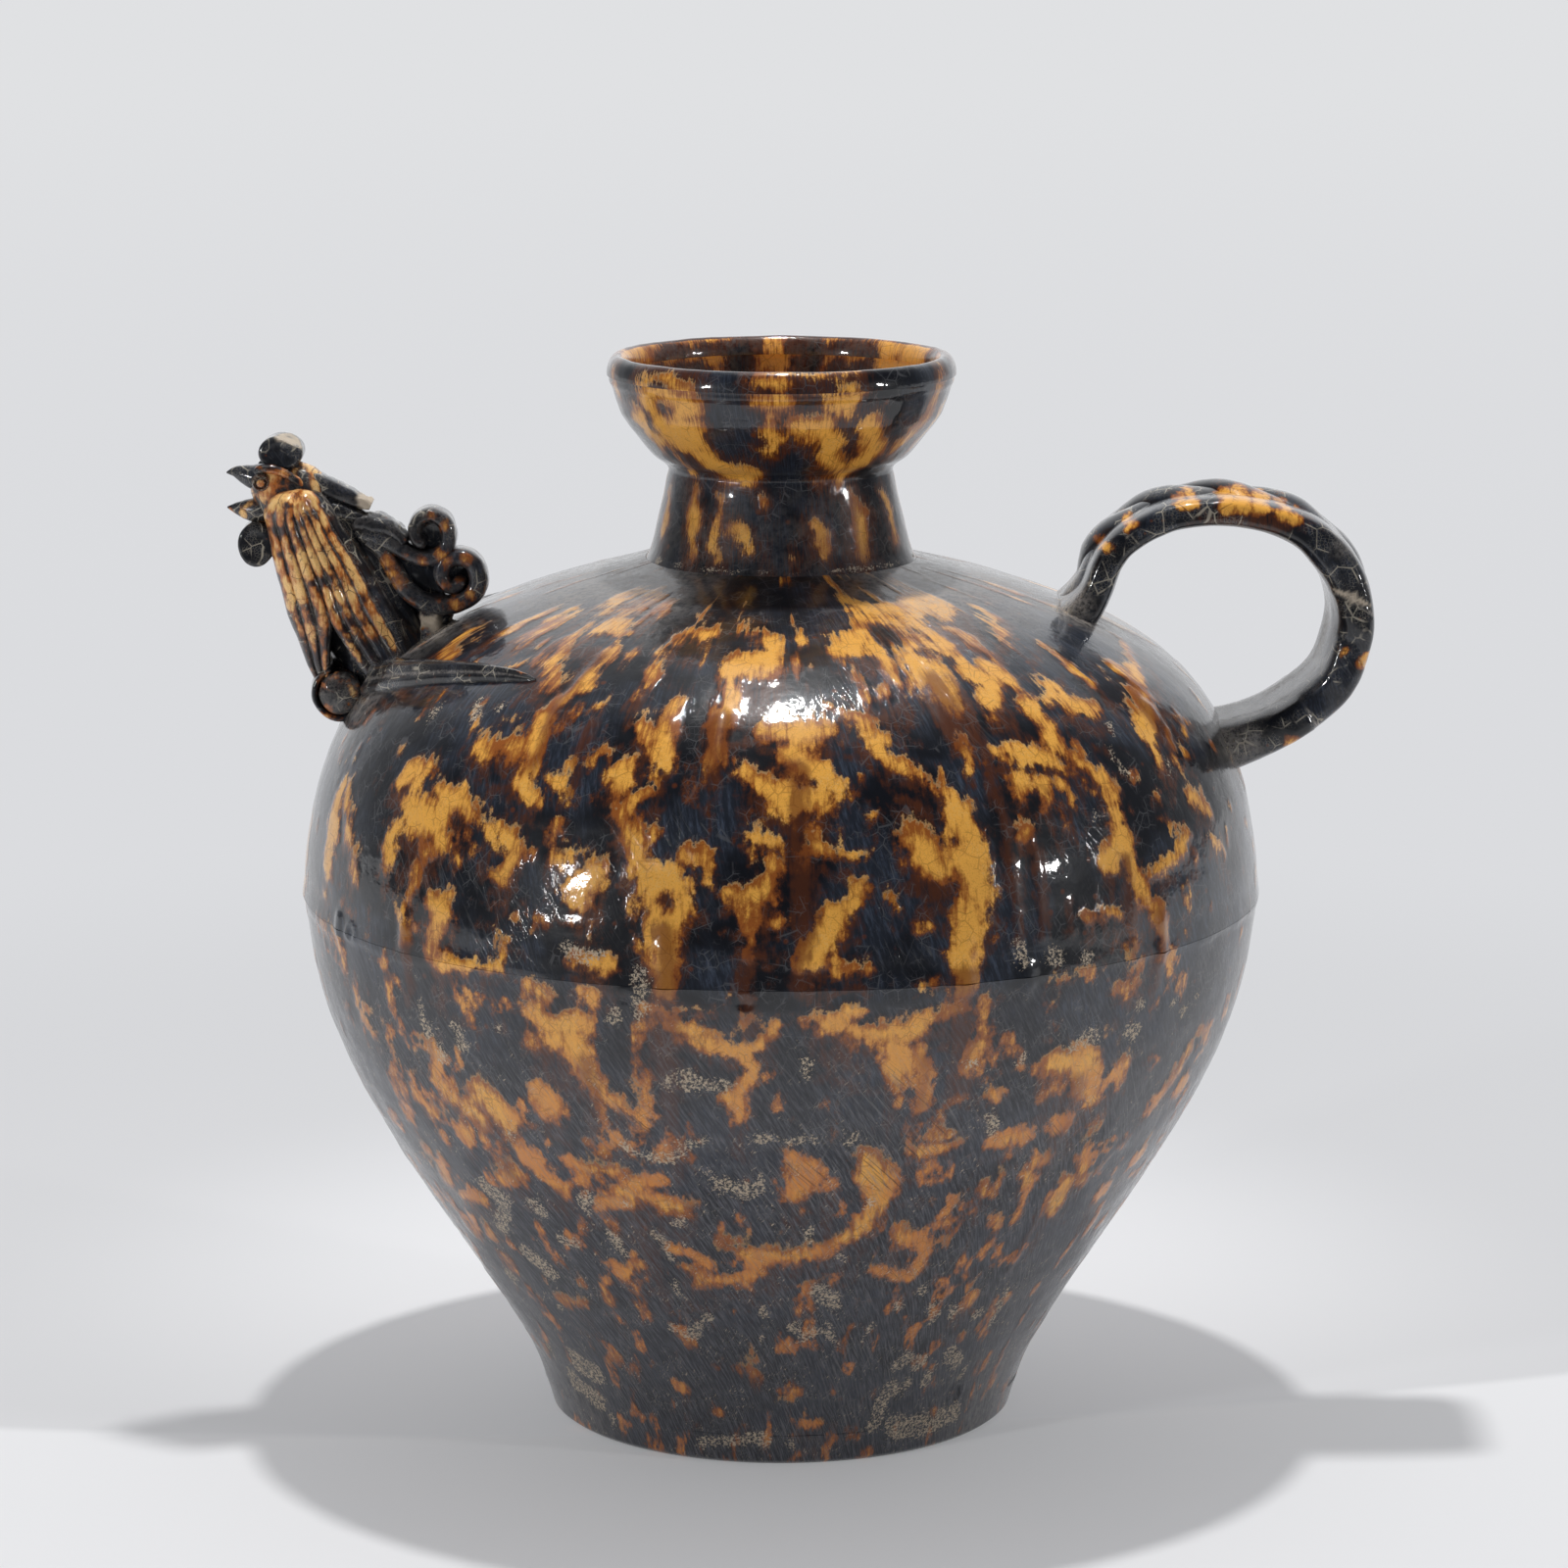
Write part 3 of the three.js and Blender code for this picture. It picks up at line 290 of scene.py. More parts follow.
# Brown, see-through runs, drawn down from a height to another: degrees, upper height, lower height, half width
BROWN_RUNS = [
    (2.5, 205, 150, 2.5), (27.5, 222, 160, 1.8), (-13, 165, 95, 2.5), (-26.5, 213, 198, 1.6),
    (-20, 82, 52, 2.8), (6.2, 90, 72, 2.0), (7.3, 136, 131, 1.8), (35, 168, 160, 1.0), (40.5, 78, 58, 1.5),
    (49, 160, 140, 2.2), (-8.3, 215, 203, 2.6), (24.3, 221, 211, 4.2), (-13.5, 152, 128, 3.0),
    (21, 152, 118, 2.6), (60, 209, 201, 4.0), (-1.5, 68, 58, 1.4), (5, 62, 50, 1.6), (-48.5, 156, 136, 2.0),
    (44, 176, 150, 2.4), (-33, 226, 202, 1.6), (16.5, 130, 108, 2.0), (11, 11, 6, 2.0), (-4, 160, 138, 2.2),
    (31, 186, 160, 1.4), (-23, 128, 104, 1.8), (38, 118, 92, 2.2), (-39, 104, 84, 2.0),
]

# Pale lime crust and its rims round old glaze craters
CRUST_STROKES = [
    [(-13, 124, 0.7), (-11, 127, 0.7)], [(-11, 124, 0.6), (-6, 123.5, 0.6)], [(-16, 155, 0.7),
     (-15.5, 148, 0.7), (-16, 141, 0.6)], [(-25, 159, 0.6), (-22, 157, 0.7), (-20, 158, 0.5)],
    [(3, 131, 0.6), (3, 127, 0.6)], [(-3, 108, 0.6), (4, 107, 0.6)], [(8.5, 108, 0.8)], [(22.5, 128, 0.7)],
    [(26, 112, 0.7), (27, 107, 0.7)], [(-20, 104, 0.7), (-17, 101, 0.8), (-14, 101.5, 0.8),
     (-10.5, 108, 0.6)], [(-9, 97, 0.6), (-8, 93, 0.8), (-5, 91, 0.8), (-3, 92.5, 0.7), (-2.5, 96, 0.5)],
    [(-21, 85, 1)], [(-27, 85, 1)], [(-14, 81, 0.9)], [(-19, 142, 0.8)], [(36, 128, 1), (39, 131, 1.6)],
    [(46, 129, 1.6)], [(46.5, 137, 0.8)], [(53, 134, 0.9)], [(56, 130, 0.9)], [(59, 133, 0.9)],
    [(29, 127, 0.8)], [(47, 203, 0.7)], [(49, 207, 0.7)], [(48, 198, 0.7)], [(41, 188, 0.7)],
    [(57, 197, 0.7)], [(32.5, 154, 1.4)], [(36.5, 153, 0.8)], [(27.5, 158, 0.8)], [(27, 160, 0.6),
     (28, 154, 0.6)], [(-46.5, 137, 0.8), (-46, 128, 0.8)], [(-41, 132, 1.2), (-40.5, 128, 1.2)],
    [(-34, 133, 0.8)], [(-44.5, 123, 1.2)], [(-36, 102, 1.2)], [(-46, 83, 2.4), (-43, 79, 2.6)],
    [(-37, 79, 2.6)], [(-28, 83, 1.6)], [(-48, 214, 0.5), (-46, 211, 0.5)], [(-55, 210, 0.5)],
    [(-43, 214, 0.5)], [(-20, 44, 0.7), (-18, 43, 0.8), (-15, 44.5, 0.7), (-13, 48, 0.7)], [(2, 47, 0.7),
     (4, 43, 0.9), (6, 44, 0.8), (8, 46, 0.9)], [(8, 45, 0.7), (10, 40.5, 0.6)], [(15, 41, 0.7),
     (16, 45, 0.7)], [(-3, 52, 0.9)], [(-3.5, 42, 1)], [(4, 79, 0.9), (4, 76, 0.9)], [(-18, 76, 0.6),
     (-17, 68, 0.6)], [(-17, 60, 1.1), (-16, 56, 1.1)], [(-4, 7, 2.2)], [(2, 6, 1.4)], [(-20, 6, 0.8),
     (-6, 8, 1)], [(24, 30, 2.2), (26, 33, 2)], [(24, 22, 2.5), (22, 12, 3)], [(27, 10, 3), (33, 8, 3),
     (40, 8, 2.4), (46, 10, 2)], [(28, 23, 2.2)], [(29, 30, 2)], [(33, 24, 2)], [(36, 32, 2),
     (39, 28, 1.6)], [(43, 23, 2)], [(24, 56, 1.6)], [(27, 50, 1.8)], [(28, 46, 1.6)], [(32, 47, 1.4)],
    [(6, 58, 2.2), (9, 54, 1.4)], [(38, 44, 1.4)], [(43, 50, 1.0), (44, 40, 1.0)], [(20, 52, 1.2)],
    [(-42, 57, 3), (-45, 62, 2)], [(-35, 69, 0.6), (-32, 70, 0.6)], [(-45, 44, 1.6)], [(-56, 50, 2)],
    [(-50, 24, 3), (-44, 22, 2.4)], [(-55, 16, 3), (-47, 13, 3)], [(-44, 8, 2)], [(-60, 24, 2)],
    [(-48, 69, 1.4), (-45, 74, 1.4)], [(-24, 68, 1), (-25, 74, 1)], [(12, 88, 0.8)], [(9, 70, 1)],
]

# Craters where old bubbles burst: degrees, height, half width
CRATERS = [
    (-16, 106, 4), (-5.5, 95, 3.2), (-18, 47.5, 3.4), (4.5, 47.5, 3), (12, 43.5, 3.2), (1.5, 77, 2.6),
    (-17.5, 146.5, 1.6), (-4, 146.5, 1.8), (-60, 150.5, 1.6), (27, 54, 2.6), (43.5, 16, 3.2),
]

# Raised drips of glaze with a round bulb at the end: degrees, upper height, lower height, half width
BULBS = [
    (-15.5, 214, 203, 2.6), (-8.5, 216, 205, 2.8), (28.7, 152, 145.5, 2.6), (-63.5, 153, 146.5, 2.4),
    (49, 158, 147.5, 2.2), (21, 160, 148, 2.4), (-13, 160, 149, 2.6), (-48.5, 160, 152, 2.2),
]

# The lower edge of the second dip, as degrees and height
DIP_EDGE = [
    (-180, 149), (-120, 146), (-90, 148), (-66, 147), (-60, 147), (-50, 146.5), (-43, 147), (-38, 149),
    (-30, 150), (-20, 148), (-9, 144.5), (0, 143), (10, 144), (18, 146), (24, 147.5), (28.7, 145.5),
    (31, 149.5), (35, 149.5), (49, 148), (62, 148.5), (100, 146), (140, 150), (180, 149),
]

# The mouth and neck: amber outside, dark inside patches
MOUTH_AMBER = [
    [(-52, 291, 4), (-40, 290, 6), (-32, 291, 4)], [(-45, 282, 6), (-34, 281, 5)], [(-33, 275, 4),
     (-28, 271, 3.5)], [(-22, 270, 3), (-13, 271, 2)], [(-60, 286, 3), (-55, 278, 3), (-50, 271, 3)],
    [(-8, 296, 1.5), (28, 296, 1.5)], [(-6, 293, 3), (1, 293, 3)], [(-3, 289, 2.4), (-4, 278, 1.8)],
    [(17, 292, 3), (24, 291, 3.2)], [(5, 285, 3), (14, 284, 4)], [(17, 280, 3.5), (22, 272, 4)],
    [(34, 284, 4), (38, 276, 4.5), (30, 269, 3)], [(66, 296, 1.6), (62, 286, 2.4), (52, 277, 2.6)],
    [(75, 284, 2.6), (70, 276, 2.2)], [(-48, 263, 3.2), (-46, 256, 3.4), (-44, 249, 2.4)], [(-72, 262, 2.4),
     (-70, 252, 2)], [(-22, 256, 2.6), (-16, 251, 2)], [(-28, 247, 1.2)], [(14, 256, 2), (20, 250, 2.4)],
    [(38, 263, 3.2), (42, 257, 4.5), (40, 249, 3.2)], [(62, 262, 2), (64, 250, 2)], [(-8, 263, 1)],
    [(-30, 262, 1.2), (-33, 251, 1.6)], [(4, 247, 1)], [(-75, 292, 3)], [(85, 292, 3)],
]
MOUTH_DARK = [
    [(-43, 289, 1.5)], [(-54, 273, 3)], [(-60, 292, 2)], [(26, 286, 1.8), (25, 279, 1.6)], [(18, 270, 2.2)],
    [(8, 291.5, 2), (13, 292, 1.6)],
]
INSIDE_DARK = [
    [(-128, 291, 2.4)], [(-146, 289, 4), (-138, 288, 4)], [(-163, 291, 4), (-160, 287, 4)],
    [(-174, 286, 2.6)], [(170, 292, 3), (168, 286, 3.6)], [(156, 289, 4), (146, 288, 4.4)], [(100, 290, 4)],
    [(-100, 287, 3.4)], [(60, 290, 4)], [(20, 288, 4.5)], [(-20, 290, 4)], [(-60, 288, 3.6)],
]

# Millimetres along the surface for a degree of turn, on the jar and on the mouth
BODY_DEGREE = 2.0
MOUTH_DEGREE = 0.8
# How far the amber grows past its strokes, how far a stroke is looked for, and the values far outside
GROWTH = 0.35
STROKE_REACH = 7
OUTSIDE = -8.0
UNTOUCHED = -20.0
# The far side's strokes: seed, number and how far they sway
FAR_SEED = 41
FAR_STROKES = 125
FAR_SWAY = 2.2
# Height of the crusty joint where the neck meets the shoulder
NECK_SEAM = 244.2
# Where the handle, the spout and its scrolls are luted to the jar
ROOT_PLACES = [
    (-112, -14, 207), (-108, -22, 203), (-98, -6, 222), (127, -16, 190), (127, 0, 190), (82, -16, 231),
]


def stroke_field(turn, height, strokes, degree):
    """How far inside the nearest stroke a place lies, in millimetres; negative outside."""
    field = np.full(len(turn), UNTOUCHED)
    for stroke in strokes:
        line = np.array(stroke, float)
        for i in range(max(len(line) - 1, 1)):
            a, b = line[i], line[min(i + 1, len(line) - 1)]
            reach = max(a[2], b[2]) + STROKE_REACH
            low, high = min(a[0], b[0]) * degree - reach, max(a[0], b[0]) * degree + reach
            near = np.flatnonzero((turn * degree > low) & (turn * degree < high)
                                  & (height > min(a[1], b[1]) - reach) & (height < max(a[1], b[1]) + reach))
            if not len(near):
                continue
            px, pz = (turn[near] - a[0]) * degree, height[near] - a[1]
            dx, dz = (b[0] - a[0]) * degree, b[1] - a[1]
            share = np.clip((px * dx + pz * dz) / max(dx * dx + dz * dz, 1e-6), 0, 1)
            inside = a[2] + (b[2] - a[2]) * share - np.hypot(px - share * dx, pz - share * dz)
            apart = np.abs(field[near] - inside)
            field[near] = np.maximum(field[near], inside) + 0.5 * np.exp(-np.clip(apart, 0, 20) / 0.8)
    return np.maximum(field, OUTSIDE)


def run_field(turn, height, runs, degree):
    """As stroke_field, for straight runs downwards given as degrees, top, bottom and half width."""
    return stroke_field(turn, height, [[(a, top, r), (a, low, r * 0.8)] for a, top, low, r in runs], degree)


def far_strokes():
    """Strokes for the side that the front view doesn't show, in the same manner as the others."""
    rng = np.random.default_rng(FAR_SEED)
    strokes = []
    for _ in range(FAR_STROKES):
        turn, height = rng.uniform(84, 276), rng.uniform(52, 236)
        size = rng.uniform(1.4, 4.6) * (0.75 if height < 120 else 1)
        stroke = [(turn, height, size)]
        for _ in range(rng.integers(0, 4)):
            turn += rng.normal(0, FAR_SWAY)
            height -= rng.uniform(4, 12)
            size = max(1.0, size * rng.uniform(0.65, 1.15))
            stroke.append((turn, height, size))
        strokes.append(stroke)
    return strokes


def flat_places(turn, height):
    """Places on the jar laid out flat, for noise that follows its surface."""
    return np.stack([turn * BODY_DEGREE, height, turn * 0], axis=1)


def over_dip(turn, height, flat):
    """How far a place lies above the lower edge of the second dip."""
    return height - (np.interp(turn, *np.array(DIP_EDGE, float).T) + 0.8 * noise(flat, 9, 17))


def jar_facts(points, turn, height):
    """The glaze's values on the jar at each point."""
    flat = flat_places(turn, height)
    warp_turn = turn + 1.1 * noise(points, 11, 3, 2) + 0.6 * noise(points, 4, 4, 2)
    warp_height = height + 2.2 * noise(points, 9, 5, 2)
    far = far_strokes()
    ragged = GROWTH + 0.45 * smooth(150, 130, height) + 1.7 * noise(points, 8, 6, 3)

    def splashes(drop):
        lifted = warp_height + drop
        return np.maximum(stroke_field(warp_turn, lifted, AMBER_STROKES, BODY_DEGREE),
                          stroke_field(warp_turn % 360, lifted, far, BODY_DEGREE)) + ragged

    amber, above = splashes(0), splashes(1.0)
    dark = stroke_field(warp_turn, warp_height, DARK_STROKES, BODY_DEGREE)
    spots = 7.5 * (noise(flat * (1, 0.7, 1), 5.5, 71, 2) - 0.50 + 0.13 * smooth(165, 120, height))
    splash = np.maximum(np.minimum(amber, -dark - 0.3), np.minimum(spots, 0.55))
    tails = [splashes(drop) - 0.6 - drop * 0.16 for drop in (5, 10, 16)]
    crust = stroke_field(turn + 1.1 * noise(points, 3.5, 9, 2), height + 1.9 * noise(points, 3.5, 11, 2),
                         CRUST_STROKES, BODY_DEGREE) + 1.1 + 1.7 * noise(points, 4.5, 80, 3)
    side = np.abs((turn + 180) % 360 - 180)
    streaks = noise_share(flat * (1, 0.09, 1), 2.6, 75, 2)
    rings = noise_share(flat_places(turn * 0.25 / BODY_DEGREE, height), 2.2, 77, 3)
    roots = np.minimum.reduce([np.linalg.norm(points - place, axis=1) for place in ROOT_PLACES])
    # Pale values: the first is painted sheen at the jar's edges as seen from the front and on round the back,
    # with streaky dust; the second and fourth are dust at the roots and near the foot; the third is dust and
    # painted sheen round the neck's root
    dust = [0.55 * smooth(62, 84, side) * streaks ** 2,
            smooth(19, 5, roots) * (0.35 + 0.5 * streaks),
            smooth(226, 239, height) * (0.3 + 0.7 * rings) * 0.75 * smooth(14, 40, side),
            0.5 * streaks * smooth(40, 4, height) * smooth(34, 60, side)]
    return {
        "splash": splash,
        "upper": np.clip(amber - above, -1, 1),
        "brown": np.maximum.reduce([splash, *tails]),
        "run": run_field(warp_turn, height, BROWN_RUNS, BODY_DEGREE),
        "crust": np.maximum(crust, 2.4 * smooth(16, 4, roots) - 2.2 + noise(points, 4, 79, 2)),
        "dull": 0.45 * (1 - smooth(-1, 1.5, over_dip(turn, height, flat))) + 0.55 * smooth(140, 95, height),
        "dust": np.maximum.reduce(dust),
    }


def jar_relief(points, turn, height, facts):
    """How far the surface stands out of its smooth outline, in millimetres."""
    from_edge = over_dip(turn, height, flat_places(turn, height * 0))
    relief = 0.5 * smooth(-0.4, 1.6, from_edge) * (0.35 + 0.65 * np.exp(-np.clip(from_edge, 0, 60) / 5))
    dents = 0.14 + 0.14 * smooth(150, 120, height)
    relief += 0.24 * noise(points, 34, 21, 2) + dents * noise(points, 11, 23, 2)
    relief += 0.10 * noise(points * 0 + height[:, None] * (0, 0, 1), 5, 29, 2)
    relief += 0.14 * smooth(-0.6, 1.0, facts["splash"])
    relief += 0.55 * smooth(-1.0, 2.0, run_field(turn, height, BULBS, BODY_DEGREE))
    relief += 0.28 * smooth(-1.5, 2.0, run_field(turn, height, BROWN_RUNS, BODY_DEGREE))
    pits = stroke_field(turn, height, [[c] for c in CRATERS], BODY_DEGREE)
    relief -= 0.7 * smooth(-0.6, 2.2, pits)
    relief += 0.4 * smooth(-1.8, -0.3, pits) * smooth(0.4, -0.6, pits)
    return relief


def mouth_facts(points, turn, height, inside):
    """The glaze's values on the neck, dish and lip; inside says which points lie in the dish."""
    warp_turn = turn + 3.4 * noise(points, 8, 31, 2) + 1.6 * noise(points, 3.5, 32, 2)
    warp_height = height + 1.3 * noise(points, 5, 33, 2)
    ragged = 0.5 + 0.3 * smooth(264, 270, height) + 1.3 * noise(points, 6, 34, 3)
    amber = stroke_field(warp_turn, warp_height, MOUTH_AMBER, MOUTH_DEGREE) + ragged
    above = stroke_field(warp_turn, warp_height + 0.8, MOUTH_AMBER, MOUTH_DEGREE) + ragged
    dark = stroke_field(warp_turn, warp_height, MOUTH_DARK, MOUTH_DEGREE)
    back = 4.4 * noise(points, 9, 37, 3) + 0.4
    outer = np.where(np.abs(turn) < 84, np.minimum(amber, -dark), back)
    within = np.minimum(4.0, -stroke_field(warp_turn, warp_height, INSIDE_DARK, MOUTH_DEGREE * 0.9) - 0.6)
    splash = np.where(inside, within, outer)
    base = 0.1 - 1.3 * np.abs(height - NECK_SEAM) + 2.0 * noise(points, 4, 39, 2)
    runs = 2.4 * noise(points * (1, 1, 0.3), 5, 40, 2) - 1.0
    return {
        "splash": splash,
        "upper": np.where(inside, 0, np.clip(amber - above, -1, 1)),
        "brown": splash + 1.6,
        "run": np.where(height < 268, runs, OUTSIDE),
        "crust": np.where(inside, OUTSIDE, np.maximum(base, OUTSIDE)),
        "dull": np.zeros(len(turn)),
        "dust": noise_share(points, 5, 42, 2) * np.where(inside, 0.25, 0.16 * smooth(270, 262, height)),
    }


# Node trees

class Tree:
    """Short names for adding shader nodes."""

    def __init__(self, owner):
        owner.use_nodes = True
        self.tree = owner.node_tree
        self.tree.nodes.clear()

    def node(self, kind, inputs=None, **settings):
        made = self.tree.nodes.new("ShaderNode" + kind)
        for key, value in settings.items():
            setattr(made, key, value)
        for key, value in (inputs or {}).items():
            self.put(value, made.inputs[key])
        return made

    def put(self, value, socket):
        """A link or a constant set on a socket; a colour may be given as three values."""
        if isinstance(value, bpy.types.NodeSocket):
            self.tree.links.new(value, socket)
        elif socket.type == "RGBA" and len(value) == 3:
            socket.default_value = (*value, 1)
        else:
            socket.default_value = value

    def math(self, operation, a, b=0.0):
        return self.node("Math", {0: a, 1: b}, operation=operation).outputs[0]

    def chain(self, operation, first, others):
        for other in others:
            first = self.math(operation, first, other)
        return first

    def add(self, first, *others):
        return self.chain("ADD", first, others)

    def times(self, first, *others):
        return self.chain("MULTIPLY", first, others)

    def most(self, first, *others):
        return self.chain("MAXIMUM", first, others)

    def rest(self, value):
        """One less a share."""
        return self.math("SUBTRACT", 1.0, value)

    def swing(self, value, amount, middle=0.5):
        """A noise value made to swing about nought."""
        return self.times(self.math("SUBTRACT", value, middle), amount)

    def step(self, value, low, high):
        """0 below low, 1 above high, and smooth between them."""
        inputs = {"Value": value, "From Min": low, "From Max": high}
        return self.node("MapRange", inputs, interpolation_type="SMOOTHSTEP").outputs[0]

    def blend(self, share, a, b):
        return self.node("Mix", {0: share, 6: a, 7: b}, data_type="RGBA").outputs[2]

    def fact(self, name):
        return self.node("Attribute", attribute_name=name).outputs["Fac"]

    def place(self, kind="Object"):
        return self.node("TexCoord").outputs[kind]

    def axes(self, vector):
        return self.node("SeparateXYZ", {0: vector}).outputs

    def noise(self, vector, scale, detail=4.0, roughness=0.55):
        inputs = {"Vector": vector, "Scale": scale, "Detail": detail, "Roughness": roughness}
        return self.node("TexNoise", inputs).outputs[0]

    def cells(self, vector, scale, feature="DISTANCE_TO_EDGE"):
        return self.node("TexVoronoi", {"Vector": vector, "Scale": scale}, feature=feature).outputs["Distance"]

    def stretched(self, vector, turn, scales):
        """A vector turned about Y by degrees and scaled along its axes."""
        made = self.node("Mapping", {"Vector": vector, "Rotation": (0, math.radians(turn), 0)})
        return self.node("Mapping", {"Vector": made.outputs[0], "Scale": scales}).outputs[0]

    def mix(self, share, a, b):
        """Two shaders mixed."""
        return self.node("MixShader", {0: share, 1: a.outputs[0], 2: b.outputs[0]})


def srgb(r, g, b):
    """A colour written as 0 to 255 values, as linear light."""
    return tuple((c / 255 / 12.92) if c <= 10 else ((c / 255 + 0.055) / 1.055) ** 2.4 for c in (r, g, b))


BLACK = srgb(13, 15, 21)
CLOUD = srgb(80, 90, 108)
SLATE = srgb(50, 52, 60)
SLATE_LIGHT = srgb(102, 102, 108)
SLATE_PALE = srgb(132, 130, 128)
AMBER = srgb(236, 172, 74)
AMBER_DEEP = srgb(150, 84, 30)
RUST = srgb(98, 48, 18)
RUN = srgb(118, 62, 22)
BROWN = srgb(80, 40, 17)
HONEY = srgb(248, 202, 128)
HONEY_DEEP = srgb(184, 106, 42)
CREAM = srgb(222, 190, 132)
CRACK = srgb(104, 104, 106)
CRACK_PALE = srgb(172, 164, 148)
DUST_AND_SHEEN = srgb(158, 151, 144)
TAN = srgb(196, 116, 54)
CRUST = srgb(214, 197, 172)
CRUST_DEEP = srgb(166, 147, 124)
CLAY = srgb(212, 200, 182)
CLAY_DEEP = srgb(156, 138, 116)
# Voronoi scale of the crackle's cells, and the distances between which a crack fades in
WIDE_CELLS = (0.24, 0.045, 0.015)
MODELLED_CELLS = (0.09, 0.036, 0.014)
# Sets of fine scratches: degrees from upright, scale across, and the noise above which a line shows
SCRATCHES = ((36, 1.6, 0.57), (20, 2.4, 0.59), (-22, 1.3, 0.60), (46, 2.0, 0.56))


def glaze_material(name, turned_piece=True, finer=1.0, crackle=0.35, scratch=0.42, haze=0.65,
                   golds=(AMBER_DEEP, AMBER), cell=WIDE_CELLS, crack=CRACK, relief=0.55):
    """Blue-black glaze with amber splashes, brown runs, crackle, scratches, dusting and painted sheen, lime
    crust and bare clay.
    """
    material = bpy.data.materials.new(name)
    t = Tree(material)
    mm = t.node("VectorMath", {0: t.place(), "Scale": finer / MM}, operation="SCALE").outputs[0]
    parts = t.axes(mm)
    around = t.math("ARCTAN2", parts[0], t.times(parts[1], -1.0))
    unrolled = t.node("CombineXYZ", {0: t.times(around, 120.0), 1: 0.0, 2: parts[2]}).outputs[0]
    flat = unrolled if turned_piece else mm

    # Noises that several features share, and the splash with its ragged edge
    coarse = t.noise(mm, 0.15, 2, 0.5)
    middle = t.noise(t.stretched(flat, 0, (0.5, 0.5, 0.3)), 1.0, 3, 0.6)
    fine = t.noise(mm, 1.7, 4, 0.6)
    grain = t.noise(mm, 2.6, 4, 0.6)
    streak = t.noise(t.stretched(flat, 0, (0.75, 0.75, 0.11)), 1.0, 4, 0.6)
    tone = t.noise(mm, 0.07, 3, 0.55)
    jitter = t.add(t.swing(coarse, 5.0 / finer), t.swing(middle, 6.5 / finer), t.swing(fine, 1.7 / finer))
    dull = t.fact("dull")
    upper = t.fact("upper")
    splash = t.add(t.fact("splash"), jitter)
    lower_edge = t.most(t.step(t.times(upper, -1.0), -0.1, 0.7), t.times(dull, 0.6))
    upper_edge = t.step(upper, 0.15, 0.8)
    mask = t.add(t.times(t.step(splash, -0.35, 0.6), t.rest(lower_edge)),
                 t.times(t.step(splash, -1.0, 1.5), lower_edge))

    # Amber: deeper at random, rusty below and creamy at its upper edge
    amber = t.blend(t.step(t.add(splash, t.swing(streak, 7.0), t.swing(tone, 9.0)), 0.0, 3.4), *golds)
    amber = t.blend(t.times(t.step(grain, 0.5, 0.72), 0.3), amber, RUST)
    amber = t.blend(t.times(t.step(splash, 1.5, 0.1), t.rest(upper_edge), 0.85), amber, RUST)
    amber = t.blend(t.times(t.step(splash, 0.9, 0.05), upper_edge, 0.6), amber, CREAM)
    amber = t.blend(t.times(t.step(fine, 0.5, 0.62), t.step(tone, 0.52, 0.62), 0.25), amber, CREAM)

    # Black: a blue haze, brown round the splashes, rusty dots and runs
    patches = t.step(t.noise(mm, 0.035, 3, 0.6), 0.42, 0.60)
    wisps = t.step(t.noise(t.stretched(flat, 14, (0.9, 0.9, 0.14)), 1.0, 6, 0.72), 0.44, 0.72)
    mist = t.times(patches, t.add(t.times(wisps, 0.8), 0.2))
    dark = t.blend(t.times(mist, haze), BLACK, CLOUD)
    warm = t.times(t.step(t.add(t.fact("brown"), t.times(jitter, 1.3)), -1.9, 1.2), t.step(streak, 0.28, 0.58))
    dark = t.blend(t.times(warm, 0.88), dark, BROWN)
    dark = t.blend(t.times(t.step(t.cells(mm, 0.12, "F1"), 0.13, 0.05), 0.7), dark, RUST)
    run = t.times(t.step(t.add(t.fact("run"), t.swing(middle, 5.0), t.swing(streak, 4.0)), -1.4, 1.5), 0.78)
    dark = t.blend(run, dark, BROWN)
    amber = t.blend(run, amber, RUN)

    # The thin, dull glaze below
    film = t.noise(t.stretched(flat, 28, (1.3, 1.3, 0.16)), 1.0, 6, 0.72)
    slate = t.blend(t.step(film, 0.40, 0.75), SLATE, SLATE_LIGHT)
    dark = t.blend(t.times(dull, t.step(film, 0.28, 0.66)), dark, slate)
    amber = t.blend(t.times(dull, t.step(tone, 0.36, 0.60), 0.75), amber, TAN)
    amber = t.blend(t.times(dull, t.step(film, 0.42, 0.70), 0.5), amber, SLATE_LIGHT)
    colour = t.blend(mask, dark, amber)

    # Crackle, scratches, and dusting with painted sheen
    hairlines = t.times(t.step(t.cells(mm, 0.62), 0.045, 0.01), 0.6)
    cracked = t.most(t.step(t.cells(mm, cell[0]), *cell[1:]), hairlines)
    gate = t.step(coarse if turned_piece else tone, 0.47, 0.58)
    colour = t.blend(t.times(cracked, gate, crackle), colour, t.blend(mask, crack, RUST))
    marks = []
    for turn, size, amount in SCRATCHES:
        lines = t.noise(t.stretched(flat, turn, (size, size, 0.055)), 1.0, 4, 0.6)
        zone = t.step(t.noise(mm, 0.028, 2, 0.5), 0.46 + 0.03 * len(marks), 0.62)
        marks.append(t.times(t.step(lines, amount, amount + 0.07), zone))
    scratches = t.most(*marks[:3])
    worn = t.times(scratches, t.add(t.times(dull, 0.8), 0.22))
    colour = t.blend(t.times(marks[3], dull, 0.7), colour, BLACK)
    colour = t.blend(t.times(worn, scratch), colour, SLATE_PALE)
    # The pale blend paints dust, and also painted sheen and highlights where the facts put them
    dust = t.times(t.fact("dust"), t.step(t.noise(mm, 0.5, 5, 0.65), 0.30, 0.62))
    colour = t.blend(dust, colour, DUST_AND_SHEEN)

